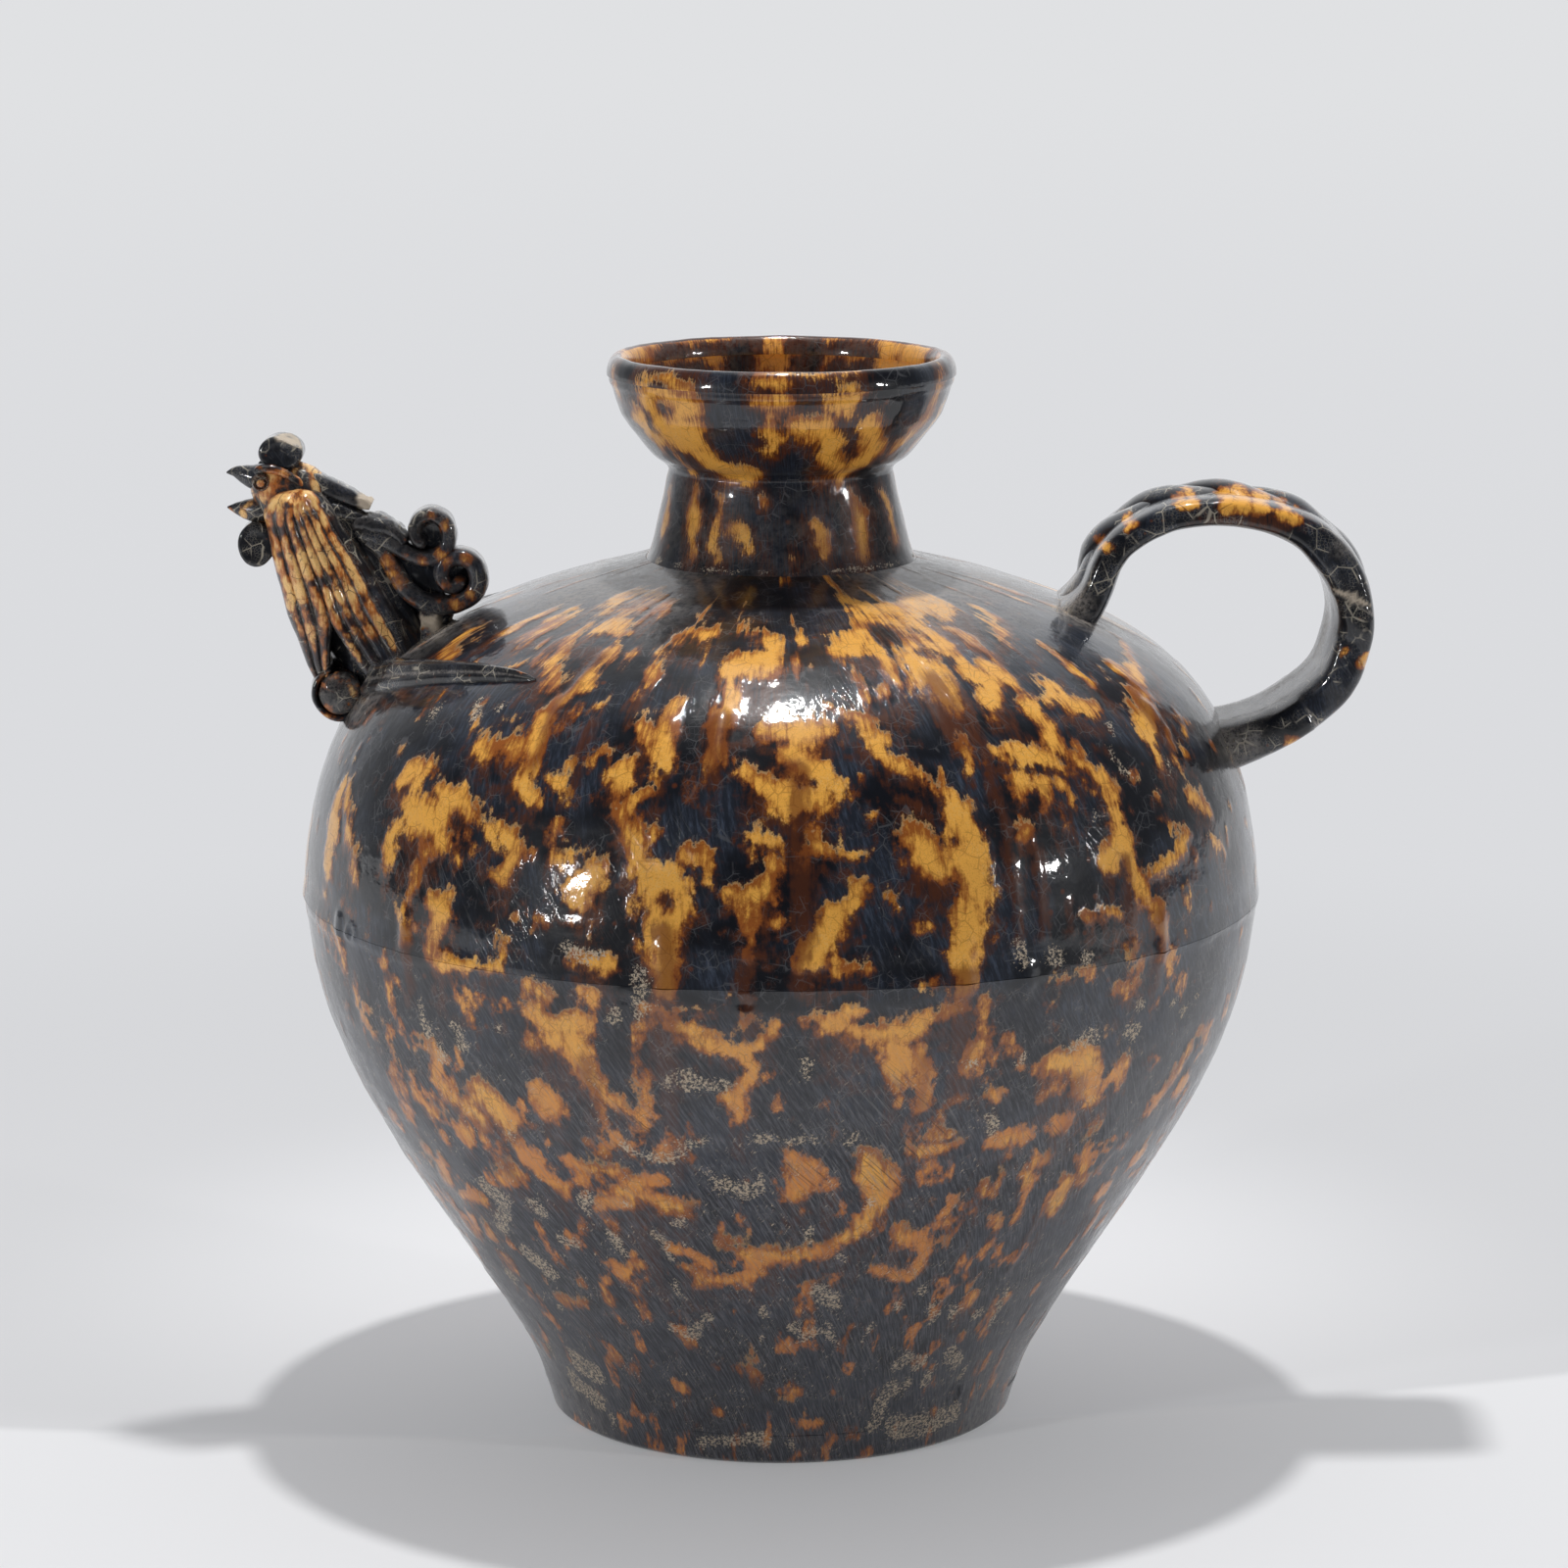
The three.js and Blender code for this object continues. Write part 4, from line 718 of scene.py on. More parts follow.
    # Lime crust, specks and bare clay
    crust = t.math("MINIMUM", t.fact("crust"), 0.85)
    crust = t.step(t.add(crust, t.swing(t.noise(mm, 1.3, 6, 0.75), 12.0, 0.545)), 0.0, 0.9)
    flecks = t.noise(t.stretched(flat, -40, (1.4, 1.4, 0.5)), 1.0, 5, 0.72)
    crust = t.most(crust, t.times(t.step(flecks, 0.58, 0.64), t.step(coarse, 0.46, 0.60), dull))
    colour = t.blend(t.times(crust, 0.93), colour, t.blend(t.noise(mm, 3.0, 3, 0.6), CRUST_DEEP, CRUST))
    bare = t.fact("bare")
    colour = t.blend(bare, colour, t.blend(t.noise(mm, 1.2, 5, 0.7), CLAY_DEEP, CLAY))

    # Surface: glossy glaze, and matte where it is lost
    height = t.add(t.times(t.noise(mm, 0.35, 3, 0.5), 0.16), t.times(mask, 0.05), t.times(scratches, -0.03),
                   t.times(crust, 0.12), t.times(grain, t.add(dull, 0.15), 0.05),
                   t.times(bare, t.swing(fine, 0.5)))
    bump = t.node("Bump", {"Height": height, "Strength": relief, "Distance": MM}).outputs[0]
    rough = t.add(0.36, t.times(dull, 0.1), t.times(worn, 0.15))
    surface = {"Base Color": colour, "Normal": bump}
    coat = {"Coat Weight": 1.0, "Coat Roughness": 0.055, "Coat Normal": bump, "Specular IOR Level": 0.15}
    glossy = t.node("BsdfPrincipled", {**surface, "Roughness": rough, **coat})
    matte = t.node("BsdfPrincipled", {**surface, "Roughness": 0.6})
    lost = t.most(crust, bare, t.times(dull, t.step(film, 0.3, 0.7), 0.55), t.times(dust, 0.8))
    t.node("OutputMaterial", {"Surface": t.mix(lost, glossy, matte).outputs[0]})
    return material


# The jar

FRONT_COLUMNS = 392
BACK_COLUMNS = 168
FOOT_COLUMNS = 256
MOUTH_COLUMNS = 320
WALL_ROWS = 158
FOOT_BEVEL = 1.2


def jar_columns():
    """Angles round the jar, closer together over the front half."""
    front = np.linspace(-math.pi / 2, math.pi / 2, FRONT_COLUMNS, endpoint=False)
    back = np.linspace(math.pi / 2, 3 * math.pi / 2, BACK_COLUMNS, endpoint=False)
    return (np.concatenate([front, back]) + math.pi) % math.tau - math.pi


def revolve(name, outline, columns, material, facts_of, relief_of=None, detail_rows=0):
    """A turned piece from a closed (radius, height) outline, with relief on its first detail_rows rows."""
    rows = len(outline)
    angle = np.linspace(-math.pi, math.pi, columns, endpoint=False) if isinstance(columns, int) else columns
    columns = len(angle)
    radius, height = np.repeat(outline, columns, axis=0).T
    angle = np.tile(angle, rows)

    def placed(out, up):
        return np.stack([out * np.sin(angle), -out * np.cos(angle), up], axis=1)

    points = placed(radius, height)
    turn = np.degrees(angle)
    facts = facts_of(points, turn, height)
    if relief_of:
        last = detail_rows - 1
        along = np.roll(outline, -1, axis=0) - np.roll(outline, 1, axis=0)
        along[0] = outline[1] - outline[0]
        along[last] = outline[last] - outline[last - 1]
        out = np.repeat(-sideways(unit(along)), columns, axis=0)
        relief = relief_of(points, turn, height, facts) * np.repeat(np.arange(rows) < detail_rows, columns)
        points = placed(radius + out[:, 0] * relief, height + out[:, 1] * relief)
    return make_mesh(name, points, grid_faces(rows, columns, close_rows=True), material, facts)


def jar_outline():
    lower = catmull(from_shares((FOOT_RADIUS, 0), (BELLY_RADIUS, BELLY_HEIGHT), LOWER_SHARES), 400)
    upper = catmull(from_shares((BELLY_RADIUS, BELLY_HEIGHT), (NECK_ROOT, SHOULDER_HEIGHT), UPPER_SHARES), 400)
    return lower, upper


def between(outline, low, high, count):
    """The part of an outline between two heights, evenly spaced."""
    ends = [(np.interp(h, outline[:, 1], outline[:, 0]), h) for h in (low, high)]
    inside = outline[(outline[:, 1] > low) & (outline[:, 1] < high)]
    return spread(np.vstack([ends[0], inside, ends[1]]), count)


def build_jar(glaze):
    lower, upper = jar_outline()
    foot_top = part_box("foot_floor")[1].z / MM
    side = between(lower, FOOT_BEVEL, foot_top, 14)
    sole = [(r, 0.0) for r in (1.0, 20.0, 40.0, 58.0, FOOT_RADIUS - FOOT_BEVEL)]
    inner = [(FOOT_RADIUS - BODY_WALL, foot_top - PIECE_GAP), (1.0, foot_top - PIECE_GAP)]
    foot = revolve("foot", np.vstack([sole, side, inner]), FOOT_COLUMNS, glaze, jar_facts)
    seat(foot, ["foot_floor"])
    for half, outline, low, high, inner_rows in (("lower", lower, foot_top, BELLY_HEIGHT, 10),
                                                 ("upper", upper, BELLY_HEIGHT, SHOULDER_HEIGHT, 12)):
        outside = between(outline, low, high, WALL_ROWS)
        inside = spread(moved_in(outside, BODY_WALL)[::-1], inner_rows)
        if half == "upper":
            inside[0] = (NECK_ROOT - NECK_WALL, SHOULDER_HEIGHT - BODY_WALL)
        closed = np.vstack([outside, inside])
        wall = revolve(f"{half}_jar", closed, jar_columns(), glaze, jar_facts, jar_relief, WALL_ROWS)
        seat(wall, [f"{half}_body"])


# Turned rings on the neck and dish: height, half width, how far they stand out
MOUTH_RINGS = [(292.6, 1.0, 0.28), (284.0, 1.6, 0.2), (268.5, 2.2, -0.25)]
WAIST_BELOW_DISH = 2.2
DISH_ROOT = NECK_WAIST + 1.6
BORE = NECK_WAIST - NECK_WALL


def mouth_relief(points, turn, height, facts):
    rings = sum(out * np.exp(-((height - level) / half) ** 2) for level, half, out in MOUTH_RINGS)
    return rings + 0.22 * noise(points, 16, 51, 2) + 0.08 * noise(points, 5, 53, 2)


def build_mouth(glaze):
    waist = NECK_TOP - WAIST_BELOW_DISH
    curve = catmull(from_shares((NECK_ROOT, SHOULDER_HEIGHT), (NECK_WAIST, waist), NECK_SHARES), 70)
    outside = np.vstack([curve, (NECK_WAIST + 0.5, waist + 1.2), (DISH_ROOT, NECK_TOP)])
    inside = [(BORE, NECK_TOP), (BORE, waist), (BORE, waist - 14), (NECK_ROOT - NECK_WALL, SHOULDER_HEIGHT)]

    def neck_facts(points, turn, height):
        return mouth_facts(points, turn, height, np.zeros(len(turn), bool))

    neck = revolve("neck_wall", np.vstack([outside, inside]), MOUTH_COLUMNS, glaze, neck_facts, mouth_relief,
                   len(outside))
    seat(neck, ["neck"])

    lip_out = DISH_RIM + LIP_OVERHANG
    lip_in = DISH_RIM - DISH_WALL
    middle, half = (lip_out + lip_in) / 2, (lip_out - lip_in) / 2
    floor_height = NECK_TOP + DISH_WALL
    rim = (DISH_RIM + LIP_OVERHANG * 0.8, DISH_TOP)
    outer = catmull(from_shares((DISH_ROOT, NECK_TOP), rim, DISH_SHARES), 80)
    within = moved_in(outer, DISH_WALL)[::-1]
    inner = spread(np.vstack([within[within[:, 1] > floor_height], (BORE + 1, floor_height)]), 60)

    def dish_facts(points, turn, height):
        row = np.arange(len(turn)) // MOUTH_COLUMNS
        return mouth_facts(points, turn, height, row >= len(outer))

    outline = np.vstack([outer, inner, (BORE, NECK_TOP)])
    dish = revolve("mouth_dish_wall", outline, MOUTH_COLUMNS, glaze, dish_facts, mouth_relief, len(outer))
    seat(dish, ["mouth_dish"])

    arc = np.linspace(-0.35, math.pi, 26)
    lip = np.stack([middle + half * np.cos(arc), DISH_TOP + (RIM_TOP - DISH_TOP) * np.sin(arc)], axis=1)
    lip[:2] = (outer[-1][0] - 0.2, DISH_TOP - 0.6), (outer[-1][0] + 0.05, DISH_TOP - 0.1)

    def lip_facts(points, turn, height):
        facts = mouth_facts(points, turn, height - 3.5, np.hypot(points[:, 0], points[:, 1]) < middle - 1)
        facts["splash"] = facts["splash"] - 1.5
        return facts

    lip_piece = revolve("lip", lip, MOUTH_COLUMNS, glaze, lip_facts, mouth_relief, len(lip))
    seat(lip_piece, ["mouth_rim"])


# Lofted pieces: the handle, the spout and its bird

PATH_POINTS = 200
SPOT_EDGE = 0.3


def section(sides, square=1.0):
    """Across and up round a closed section: a circle with square 1, and squarer with less."""
    angle = np.linspace(0, math.tau, sides, endpoint=False)
    return [np.sign(v) * np.abs(v) ** square for v in (np.cos(angle), np.sin(angle))]


def sizes_along(size, share):
    """Sizes at shares of a path, from one number, a list of sizes along it or a function."""
    if callable(size):
        return np.array([size(v) for v in share])
    return np.interp(share, np.linspace(0, 1, np.size(size)), np.atleast_1d(size))


def sweep(path, steps, sides, half_y, half_side, square=1.0, round_ends=(0.0, 0.0), shift=None):
    """Rings of points along an (x, z) path. Half sizes and the shift sideways are as in sizes_along."""
    line = catmull(path, PATH_POINTS)
    length = step_lengths(line).sum()
    share = [np.linspace(round_ends[0] / length, 1 - round_ends[1] / length, steps)]
    closer = 1 - np.sin(np.linspace(0.1, math.pi / 2, 6, endpoint=False))
    if round_ends[0]:
        share.append(closer * round_ends[0] / length)
    if round_ends[1]:
        share.append(1 - closer * round_ends[1] / length)
    share = np.sort(np.concatenate(share))
    taper = np.ones(len(share))
    for from_end, reach in zip((share, 1 - share), round_ends):
        if reach:
            depth = np.clip(from_end * length / reach, 0, 1)
            taper = np.minimum(taper, np.sqrt(np.clip(1 - (1 - depth) ** 2, 0.0025, 1)))
    even = np.linspace(0, 1, PATH_POINTS)
    at, along = (np.stack([np.interp(share, even, values[:, k]) for k in range(2)], axis=1)
                 for values in (line, np.gradient(line, axis=0)))
    side = sideways(unit(along))
    wide, tall = (sizes_along(size, share) * taper for size in (half_y, half_side))
    if shift:
        at = at + sizes_along(shift, share)[:, None] * side
    across, up = section(sides, square)
    x = at[:, :1] + side[:, :1] * tall[:, None] * up
    z = at[:, 1:] + side[:, 1:] * tall[:, None] * up
    return np.stack([x, wide[:, None] * across, z], axis=2)


def loft(name, rings, material, facts_of, rough, sharp_angle=60):
    """A closed piece through rings of points, its surface made a little uneven by (amount, lump size)."""
    count, sides = rings.shape[:2]
    points = np.vstack([rings.reshape(-1, 3), rings[0].mean(axis=0), rings[-1].mean(axis=0)])
    faces = grid_faces(count, sides)
    start, end = count * sides, count * sides + 1
    last = (count - 1) * sides
    faces += [((k + 1) % sides, k, start) for k in range(sides)]
    faces += [(last + k, last + (k + 1) % sides, end) for k in range(sides)]
    middle = points.mean(axis=0)
    a, b, c = (points[[f[k] for f in faces]] for k in range(3))
    if np.einsum("ij,ij->", a - middle, np.cross(b - middle, c - middle)) < 0:
        faces = [f[::-1] for f in faces]
    shape = bpy.data.meshes.new("shape")
    shape.from_pydata(points.tolist(), [], faces)
    normals = np.empty(len(points) * 3)
    shape.vertex_normals.foreach_get("vector", normals)
    bpy.data.meshes.remove(shape)
    amount, lump = rough
    lift = amount * noise(points, lump, len(name) * 7, 3)
    points = points + normals.reshape(-1, 3) * lift[:, None]
    return make_mesh(name, points, faces, material, facts_of(points), sharp_angle)


def dress(name, node, rings, material, facts, rough):
    """A lofted piece that stands in for a CAD node."""
    seat(loft(name, rings, material, facts, rough), [node])


def mottled(size, seed, bias, bare=None, spots=(), dust=0.02):
    """Facts for a small piece: amber blotches by noise, more with a higher bias, and spots (x, z, radius)."""
    def facts(points):
        splash = 1.6 * (3.0 * noise(points, size, seed, 3) + bias)
        for x, z, radius in spots:
            away = np.hypot(points[:, 0] - x, points[:, 2] - z) * (1 + (points[:, 1] > 0))
            splash = np.maximum(splash, radius + SPOT_EDGE - away)
        values = {"splash": splash, "brown": splash - 0.6, "dull": 0.03 + 0 * splash,
                  "run": 0 * splash + OUTSIDE,
                  "dust": dust * (1 + noise(points, size * 0.7, seed + 3, 2)),
                  "crust": -4.6 + 3.0 * noise(points, size * 1.3, seed + 7, 2)}
        if bare:
            values["bare"] = bare(points)
        return values
    return facts


# The handle: a flat strap with a two-strand rope lying on its outer face

STRAP_HALF = 3.5
STRAP_INNER = 3.9
HANDLE_HALF_SPAN = 35.0
HANDLE_HALF_RISE = 33.7
HANDLE_SHARES = [(-1.24, -0.02), (-1.01, 0.28), (-0.87, 0.62), (-0.69, 0.81), (-0.38, 0.96), (-0.02, 1),
                 (0.31, 0.955), (0.6, 0.83), (0.8, 0.63), (0.94, 0.4), (1, 0.12), (0.96, -0.15), (0.86, -0.4),
                 (0.63, -0.62), (0.39, -0.77), (0.1, -0.89), (-0.2, -0.97)]
ROPE_PITCH = 35.0
# Where the strands lap over the strap's edge: degrees round the loop, lean and length
ROPE_LAPS = ((15.5, 1.4, 24), (-6.5, 1.4, 38), (-44.0, 0.6, 30))
# Amber on the strap's near side: x, z and radius
STRAP_SPOTS = [(89.3, 248.5, 1.6), (95.9, 254.8, 1.5), (110.5, 260.4, 1.9), (113, 260.6, 1.9),
               (122.5, 261, 2.8), (127, 260.8, 3.0), (132, 260.3, 3.0), (138, 258, 2.6), (141, 256, 2.4),
               (161.3, 216.8, 2.6), (155.5, 219.9, 1.2), (141.7, 193.8, 2.2), (159.3, 206, 1.4)]


def handle_centre():
    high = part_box("handle_strap")[1] / MM
    return high.x - STRAP_HALF - HANDLE_HALF_SPAN, high.z - STRAP_HALF - HANDLE_HALF_RISE


def handle_path():
    x, z = handle_centre()
    return [(x + u * HANDLE_HALF_SPAN, z + v * HANDLE_HALF_RISE) for u, v in HANDLE_SHARES]


def wrap_bulge(x, z):
    """Where the strands lap over the strap's edge: how far they stand out and their seams, from 0 to 1."""
    centre = handle_centre()
    turn = np.degrees(np.arctan2(z - centre[1], x - centre[0]))
    away = np.hypot(x - centre[0], z - centre[1])
    bulge, seam = np.zeros(len(x)), np.zeros(len(x))
    for start, skew, length in ROPE_LAPS:
        past = start - skew * (away - 36.5) - turn
        bulge = np.maximum(bulge, smooth(0, 1.4, past) * smooth(length, length * 0.35, past))
        seam = np.maximum(seam, smooth(-1.3, -0.3, past) * smooth(0.9, 0.1, past))
    return bulge, seam


def strap_facts(points):
    """The glaze's values on the handle: spots, streaks inside, a chip, dusting in seams and at the roots, and
    a painted pale highlight at the loop's upper right.
    """
    x, y, z = points.T
    values = mottled(7, 61, -1.8)(points)
    near = np.maximum.reduce([r - np.hypot(x - u, z - w) for u, w, r in STRAP_SPOTS])
    values["splash"] = np.where(y < 2, 1.8 * near + 0.6 + 3.6 * noise(points, 2.8, 63, 3), values["splash"])
    values["brown"] = np.maximum(values["splash"] - 0.4, 3.0 - np.hypot((x - 131) / 4, z - 255.5))
    chip = 1.2 - np.abs(z - 234.4 + 0.42 * (x - 157.5)) - 0.08 * np.abs(x - 157.5) ** 1.5
    values["bare"] = smooth(-0.2, 0.3, chip + 0.5 * noise(points, 4, 65, 2)) * (y < -7)
    loop = handle_centre()
    along = np.stack([30 * np.arctan2(z - loop[1], x - loop[0]) * 0.4, y, y * 0], axis=1)
    streaks = np.clip(0.45 + 2.0 * noise(along, 5, 67, 3), 0, 1)
    seams = wrap_bulge(x, z)[1] * (y < -10) * smooth(-0.5, 0.3, noise(points, 5, 70, 2))
    inward = smooth(32.6, 30.6, np.hypot(x - loop[0], z - loop[1])) * smooth(19.4, 17.5, np.abs(y))
    roots = np.maximum(smooth(11, 3, np.hypot(x - 126, z - 193)), smooth(9, 3, np.hypot(x - 80, z - 233)))
    # A painted pale highlight on the loop's upper right, put in with the dusting
    painted_grey_highlight = smooth(235, 246, z) * smooth(148, 153, x) * smooth(0.1, 0.6, noise(points, 4, 68, 2) + 0.3)
    dust = [0.95 * inward * streaks, 0.5 * roots * streaks + 0.3 * roots, 0.25 * painted_grey_highlight, 0.9 * seams]
    values["dust"] = np.maximum.reduce(dust)
    values["dull"] = 0.8 * inward + 0.2 * smooth(146, 158, x)
    values["crust"] = np.maximum(values["crust"], 2.0 * roots - 2.4 + noise(points, 3, 69, 2))
    return values


def build_handle(glaze):
    path = handle_path()

    def outer(share):
        return 4.6 + 3.1 * smooth(0.40, 0.56, share)

    def half_height(share):
        return (outer(share) + STRAP_INNER) / 2 * (1 + 0.55 * abs(2 * share - 1) ** 9)

    strap = sweep(path, 260, 84, [19.4, 19.6], half_height, 0.42, shift=lambda s: (outer(s) - STRAP_INNER) / 2)
    flat = strap.reshape(-1, 3)
    edge = smooth(13.5, 18.5, np.abs(flat[:, 1]))
    flat[:, 1] += np.sign(flat[:, 1]) * edge * (1.5 * wrap_bulge(flat[:, 0], flat[:, 2])[0] - 0.3)
    dress("handle_strap_glazed", "handle_strap", strap, glaze, strap_facts, (0.3, 9.0))

    line = catmull(path, 280)
    side = sideways(unit(np.gradient(line, axis=0)))
    share = np.linspace(0, 1, len(line))
    wrap = smooth(0.42, 0.56, share)
    wide = 8.4 + 2.8 * wrap
    tall = 2.7 + 1.2 * wrap
    bend = 0.016 - 0.004 * wrap
    across, up = section(32)
    for name, phase in (("near", math.pi), ("far", 0.0)):
        turn = phase + math.tau * share * step_lengths(line).sum() / ROPE_PITCH
        lift = (3.7 + 0.3 * wrap) * (0.6 + 0.4 * smooth(0.0, 0.12, share)) + (0.9 - 0.3 * wrap) * np.sin(turn)
        y = ((6.2 + 2.1 * wrap) * np.cos(turn))[:, None] + wide[:, None] * across
        out = lift[:, None] + tall[:, None] * up - bend[:, None] * y ** 2
        rings = np.stack([line[:, :1] + side[:, :1] * out, y, line[:, 1:] + side[:, 1:] * out], axis=2)
        dress(f"rope_strand_{name}", f"handle_strand_{name}", rings, glaze, strap_facts, (0.25, 6.0))


# The bird's places are (x, z) from the centre of its head, which the frame gives

HEAD_HALF_LENGTH = 11.0
SIDES = (("near", -1), ("far", 1))
SPOUT_PATH = [(37.5, -62), (29.2, -49.8), (22.5, -40), (17.3, -30.1), (13.2, -20.2), (9, -11), (5.5, -4)]
SPOUT_SIZES = np.array([1, 0.97, 0.94, 0.9, 0.83, 0.73, 0.62])
FEATHER_LEFT = [(2.6, 2.2), (-1.9, 1.2), (-4.9, -1.2), (-6.5, -4.8), (-5.4, -10), (-4.2, -17.5), (-2.3, -25.1),
                (-0.1, -33.9), (2.4, -40.2), (5.2, -48), (8.2, -53.6)]
FEATHER_RIGHT = [(3.6, 2.25), (8, 1.7), (11.7, -1.6), (15.6, -8.7), (21.8, -18.2), (26.8, -27), (30.6, -33.9),
                 (35.6, -43.7), (39.4, -51)]
FEATHER_SPLIT = [(3.1, 2.25), (2.6, -0.5), (2.6, -4), (4.6, -11), (7.4, -18.8), (10.0, -26), (12.2, -34)]
SPLIT_TAIL_LEFT = [(11.8, -40), (11.4, -47), (11.6, -54)]
SPLIT_TAIL_RIGHT = [(15.6, -40), (19.8, -46.6), (24, -52.5)]
FEATHER_ROWS = 110
FEATHER_CROWN = 14.4
FEATHER_EDGE = 7.2
FEATHER_BACK = 4.0
FEATHER_FOOT = -33
MANE_PATH = [(17, -6), (21, -13), (24.5, -21), (29, -30), (34, -39), (38.5, -47)]
BEAK_UPPER_PATH = [(-5, 3.6), (-7.4, 4.3), (-9.8, 4.6), (-12.2, 5.3), (-14.6, 5.9), (-17.1, 5.7)]
BEAK_LOWER_PATH = [(-5, -4.6), (-7.4, -4.7), (-9.8, -4.75), (-12.2, -4.6), (-14.6, -4.3), (-17, -4)]
BROW_PATH = [(-9.0, 6.6), (-6.0, 7.6), (-1.5, 6.8), (2.5, 4.4), (5.2, 2.2)]
EYE = (-7.0, 3.7)
EYE_OUT = 6.2
EYE_PROFILE = [(0.02, 2.1), (0.5, 2.0), (1.0, 1.6), (1.3, 0.9), (1.42, 0.45), (1.6, 0.75), (1.95, 1.0),
               (2.25, 0.8), (2.45, 0.3), (2.5, -1.2), (0.02, -1.2)]


def head_centre():
    low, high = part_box("bird_head")
    return low.x / MM + HEAD_HALF_LENGTH, (low.z + high.z) / 2 / MM


def from_head(places):
    """Places given from the head's centre, in the frame; further values, such as a radius, stay."""
    x, z = head_centre()
    return [(x + u, z + w, *others) for u, w, *others in places]


def feather_group(name, side, left, right, flutes, material):
    """Fluted clay between two edge lines on one cheek of the spout, closed behind."""
    columns = flutes * 14
    first, last = (catmull(from_head(line), FEATHER_ROWS) for line in (left, right))
    share = np.linspace(0, 1, columns)
    share = share + 0.022 * np.sin(share * math.tau * (flutes - 1) + flutes) * np.sin(share * math.pi)
    x, z = (first[:, k:k + 1] + (last[:, k:k + 1] - first[:, k:k + 1]) * share for k in range(2))
    edges = [catmull(from_head(line), 300) for line in (FEATHER_LEFT, FEATHER_RIGHT)]
    start, end = (np.interp(-z, -edge[:, 1], edge[:, 0]) for edge in edges)
    over = np.clip((x - start) / (end - start), 0, 1)
    flute = np.abs(np.sin(math.pi * flutes * share)) ** 0.6 * np.ones((FEATHER_ROWS, 1))
    fall = np.linspace(0, 1, FEATHER_ROWS)[:, None]
    crown = FEATHER_EDGE + (FEATHER_CROWN - FEATHER_EDGE) * (1 - np.abs(2 * over - 1) ** 2.4)
    top = np.sqrt(np.clip(fall / 0.07, 0.02, 1))
    depth = crown * (0.45 + 0.55 * top) - 1.25 * (1 - flute) * smooth(0.05, 0.22, fall)
    back = [x[:, ::-1][:, ::6], np.full_like(x[:, ::6], side * FEATHER_BACK), z[:, ::-1][:, ::6]]
    rings = np.concatenate([np.stack([x, side * depth, z], axis=2), np.stack(back, axis=2)], axis=1)

    def at_points(values):
        """Values of the front rows, with noughts for the back and the two end points."""
        whole = np.concatenate([values, np.zeros((FEATHER_ROWS, back[0].shape[1]))], axis=1)
        return np.concatenate([whole.reshape(-1), [0, 0]])

    started = np.concatenate([np.repeat(smooth(0.04, 0.2, fall[:, 0]), rings.shape[1]), [0, 0]])
    ridges = 1 - (1 - at_points(flute)) * (0.25 + 0.75 * started)
    rim = at_points(smooth(0.86, 0.94, over))

    def facts(points):
        foot = head_centre()[1] + FEATHER_FOOT
        low = smooth(foot + 8, foot - 12, points[:, 2])
        splash = 3.2 * (ridges - 0.5) + 4.4 * noise(points, 3.6, 71, 3) + 0.5 - 2.0 * low - 5.0 * rim
        line = np.exp(-((ridges - 0.36) / 0.13) ** 2) * smooth(-0.5, 0.3, noise(points, 3, 74, 2))
        return {"splash": splash, "brown": splash + 0.5, "dull": 0.1 + 0.2 * low, "run": 0 * splash + OUTSIDE,
                "dust": 0.95 * line + 0.15 * smooth(0.5, 0.1, ridges),
                "crust": -3.4 + 2.6 * noise(points, 5, 73, 2) - ridges + smooth(0.5, 0.1, ridges) + 1.2 * low}

    return loft(name, rings, material, facts, (0.16, 3.5), 75)


def build_feathers(material):
    for name, side in SIDES:
        split_left = FEATHER_SPLIT + SPLIT_TAIL_LEFT
        split_right = FEATHER_SPLIT + SPLIT_TAIL_RIGHT
        front = feather_group(f"breast_feathers_{name}", side, FEATHER_LEFT, split_left, 3, material)
        back = feather_group(f"neck_feathers_{name}", side, split_right, FEATHER_RIGHT, 5, material)
        seat(front, [f"feathers_{name}"])
        seat(back, [f"feathers_{name}"])


def build_head(glaze):
    spout = sweep(from_head(SPOUT_PATH), 60, 48, 5 * (1 + SPOUT_SIZES), 14 * SPOUT_SIZES)
    dress("spout_wall", "spout_tube", spout, glaze, mottled(6, 81, -2.2), (0.35, 7.0))
    mane = sweep(from_head(MANE_PATH), 50, 28, 4.6, [1.5, 3.4, 3.6, 3.6, 3.4, 3.0], 0.8)
    dress("neck_back", "spout_tube", mane, glaze, mottled(6, 82, -2.4), (0.5, 5.0))
    head = sweep(from_head([(11, -1.5), (3, 0.2), (-5, 0.6), (-10.4, -0.2)]), 30, 44, [8.3, 7.1], [8.6, 8.2],
                 1.0, (8.0, 7.0))
    dress("head_form", "bird_head", head, glaze, mottled(3, 83, 0.2, dust=0.1), (0.5, 3.0))

    upper = sweep(from_head(BEAK_UPPER_PATH), 30, 28, [4.8, 4.5, 4.0, 3.0, 1.7, 0.2],
                  [4.3, 3.9, 3.4, 2.6, 1.6, 0.2], 0.9)
    dress("beak_upper_glazed", "beak_upper", upper, glaze, mottled(5, 85, -2.2), (0.15, 3.0))
    lower = sweep(from_head(BEAK_LOWER_PATH), 30, 28, [4.6, 4.3, 3.7, 2.8, 1.6, 0.2],
                  [3.8, 3.7, 3.4, 2.7, 1.6, 0.2], 0.9)
    dress("beak_lower_glazed", "beak_lower", lower, glaze, mottled(3.4, 87, -0.2), (0.15, 3.0))

    for name, side in SIDES:
        rings = sweep(from_head(BROW_PATH), 28, 20, 1.5, 1.3, 1.0, (2.0, 2.5))
        rings[:, :, 1] += side * EYE_OUT
        brow = loft(f"brow_{name}", rings, glaze, mottled(2.6, 89, -0.5), (0.3, 1.8))
        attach(brow, BODY)
        seat(build_eye(name, side, glaze), [f"eye_{name}"])


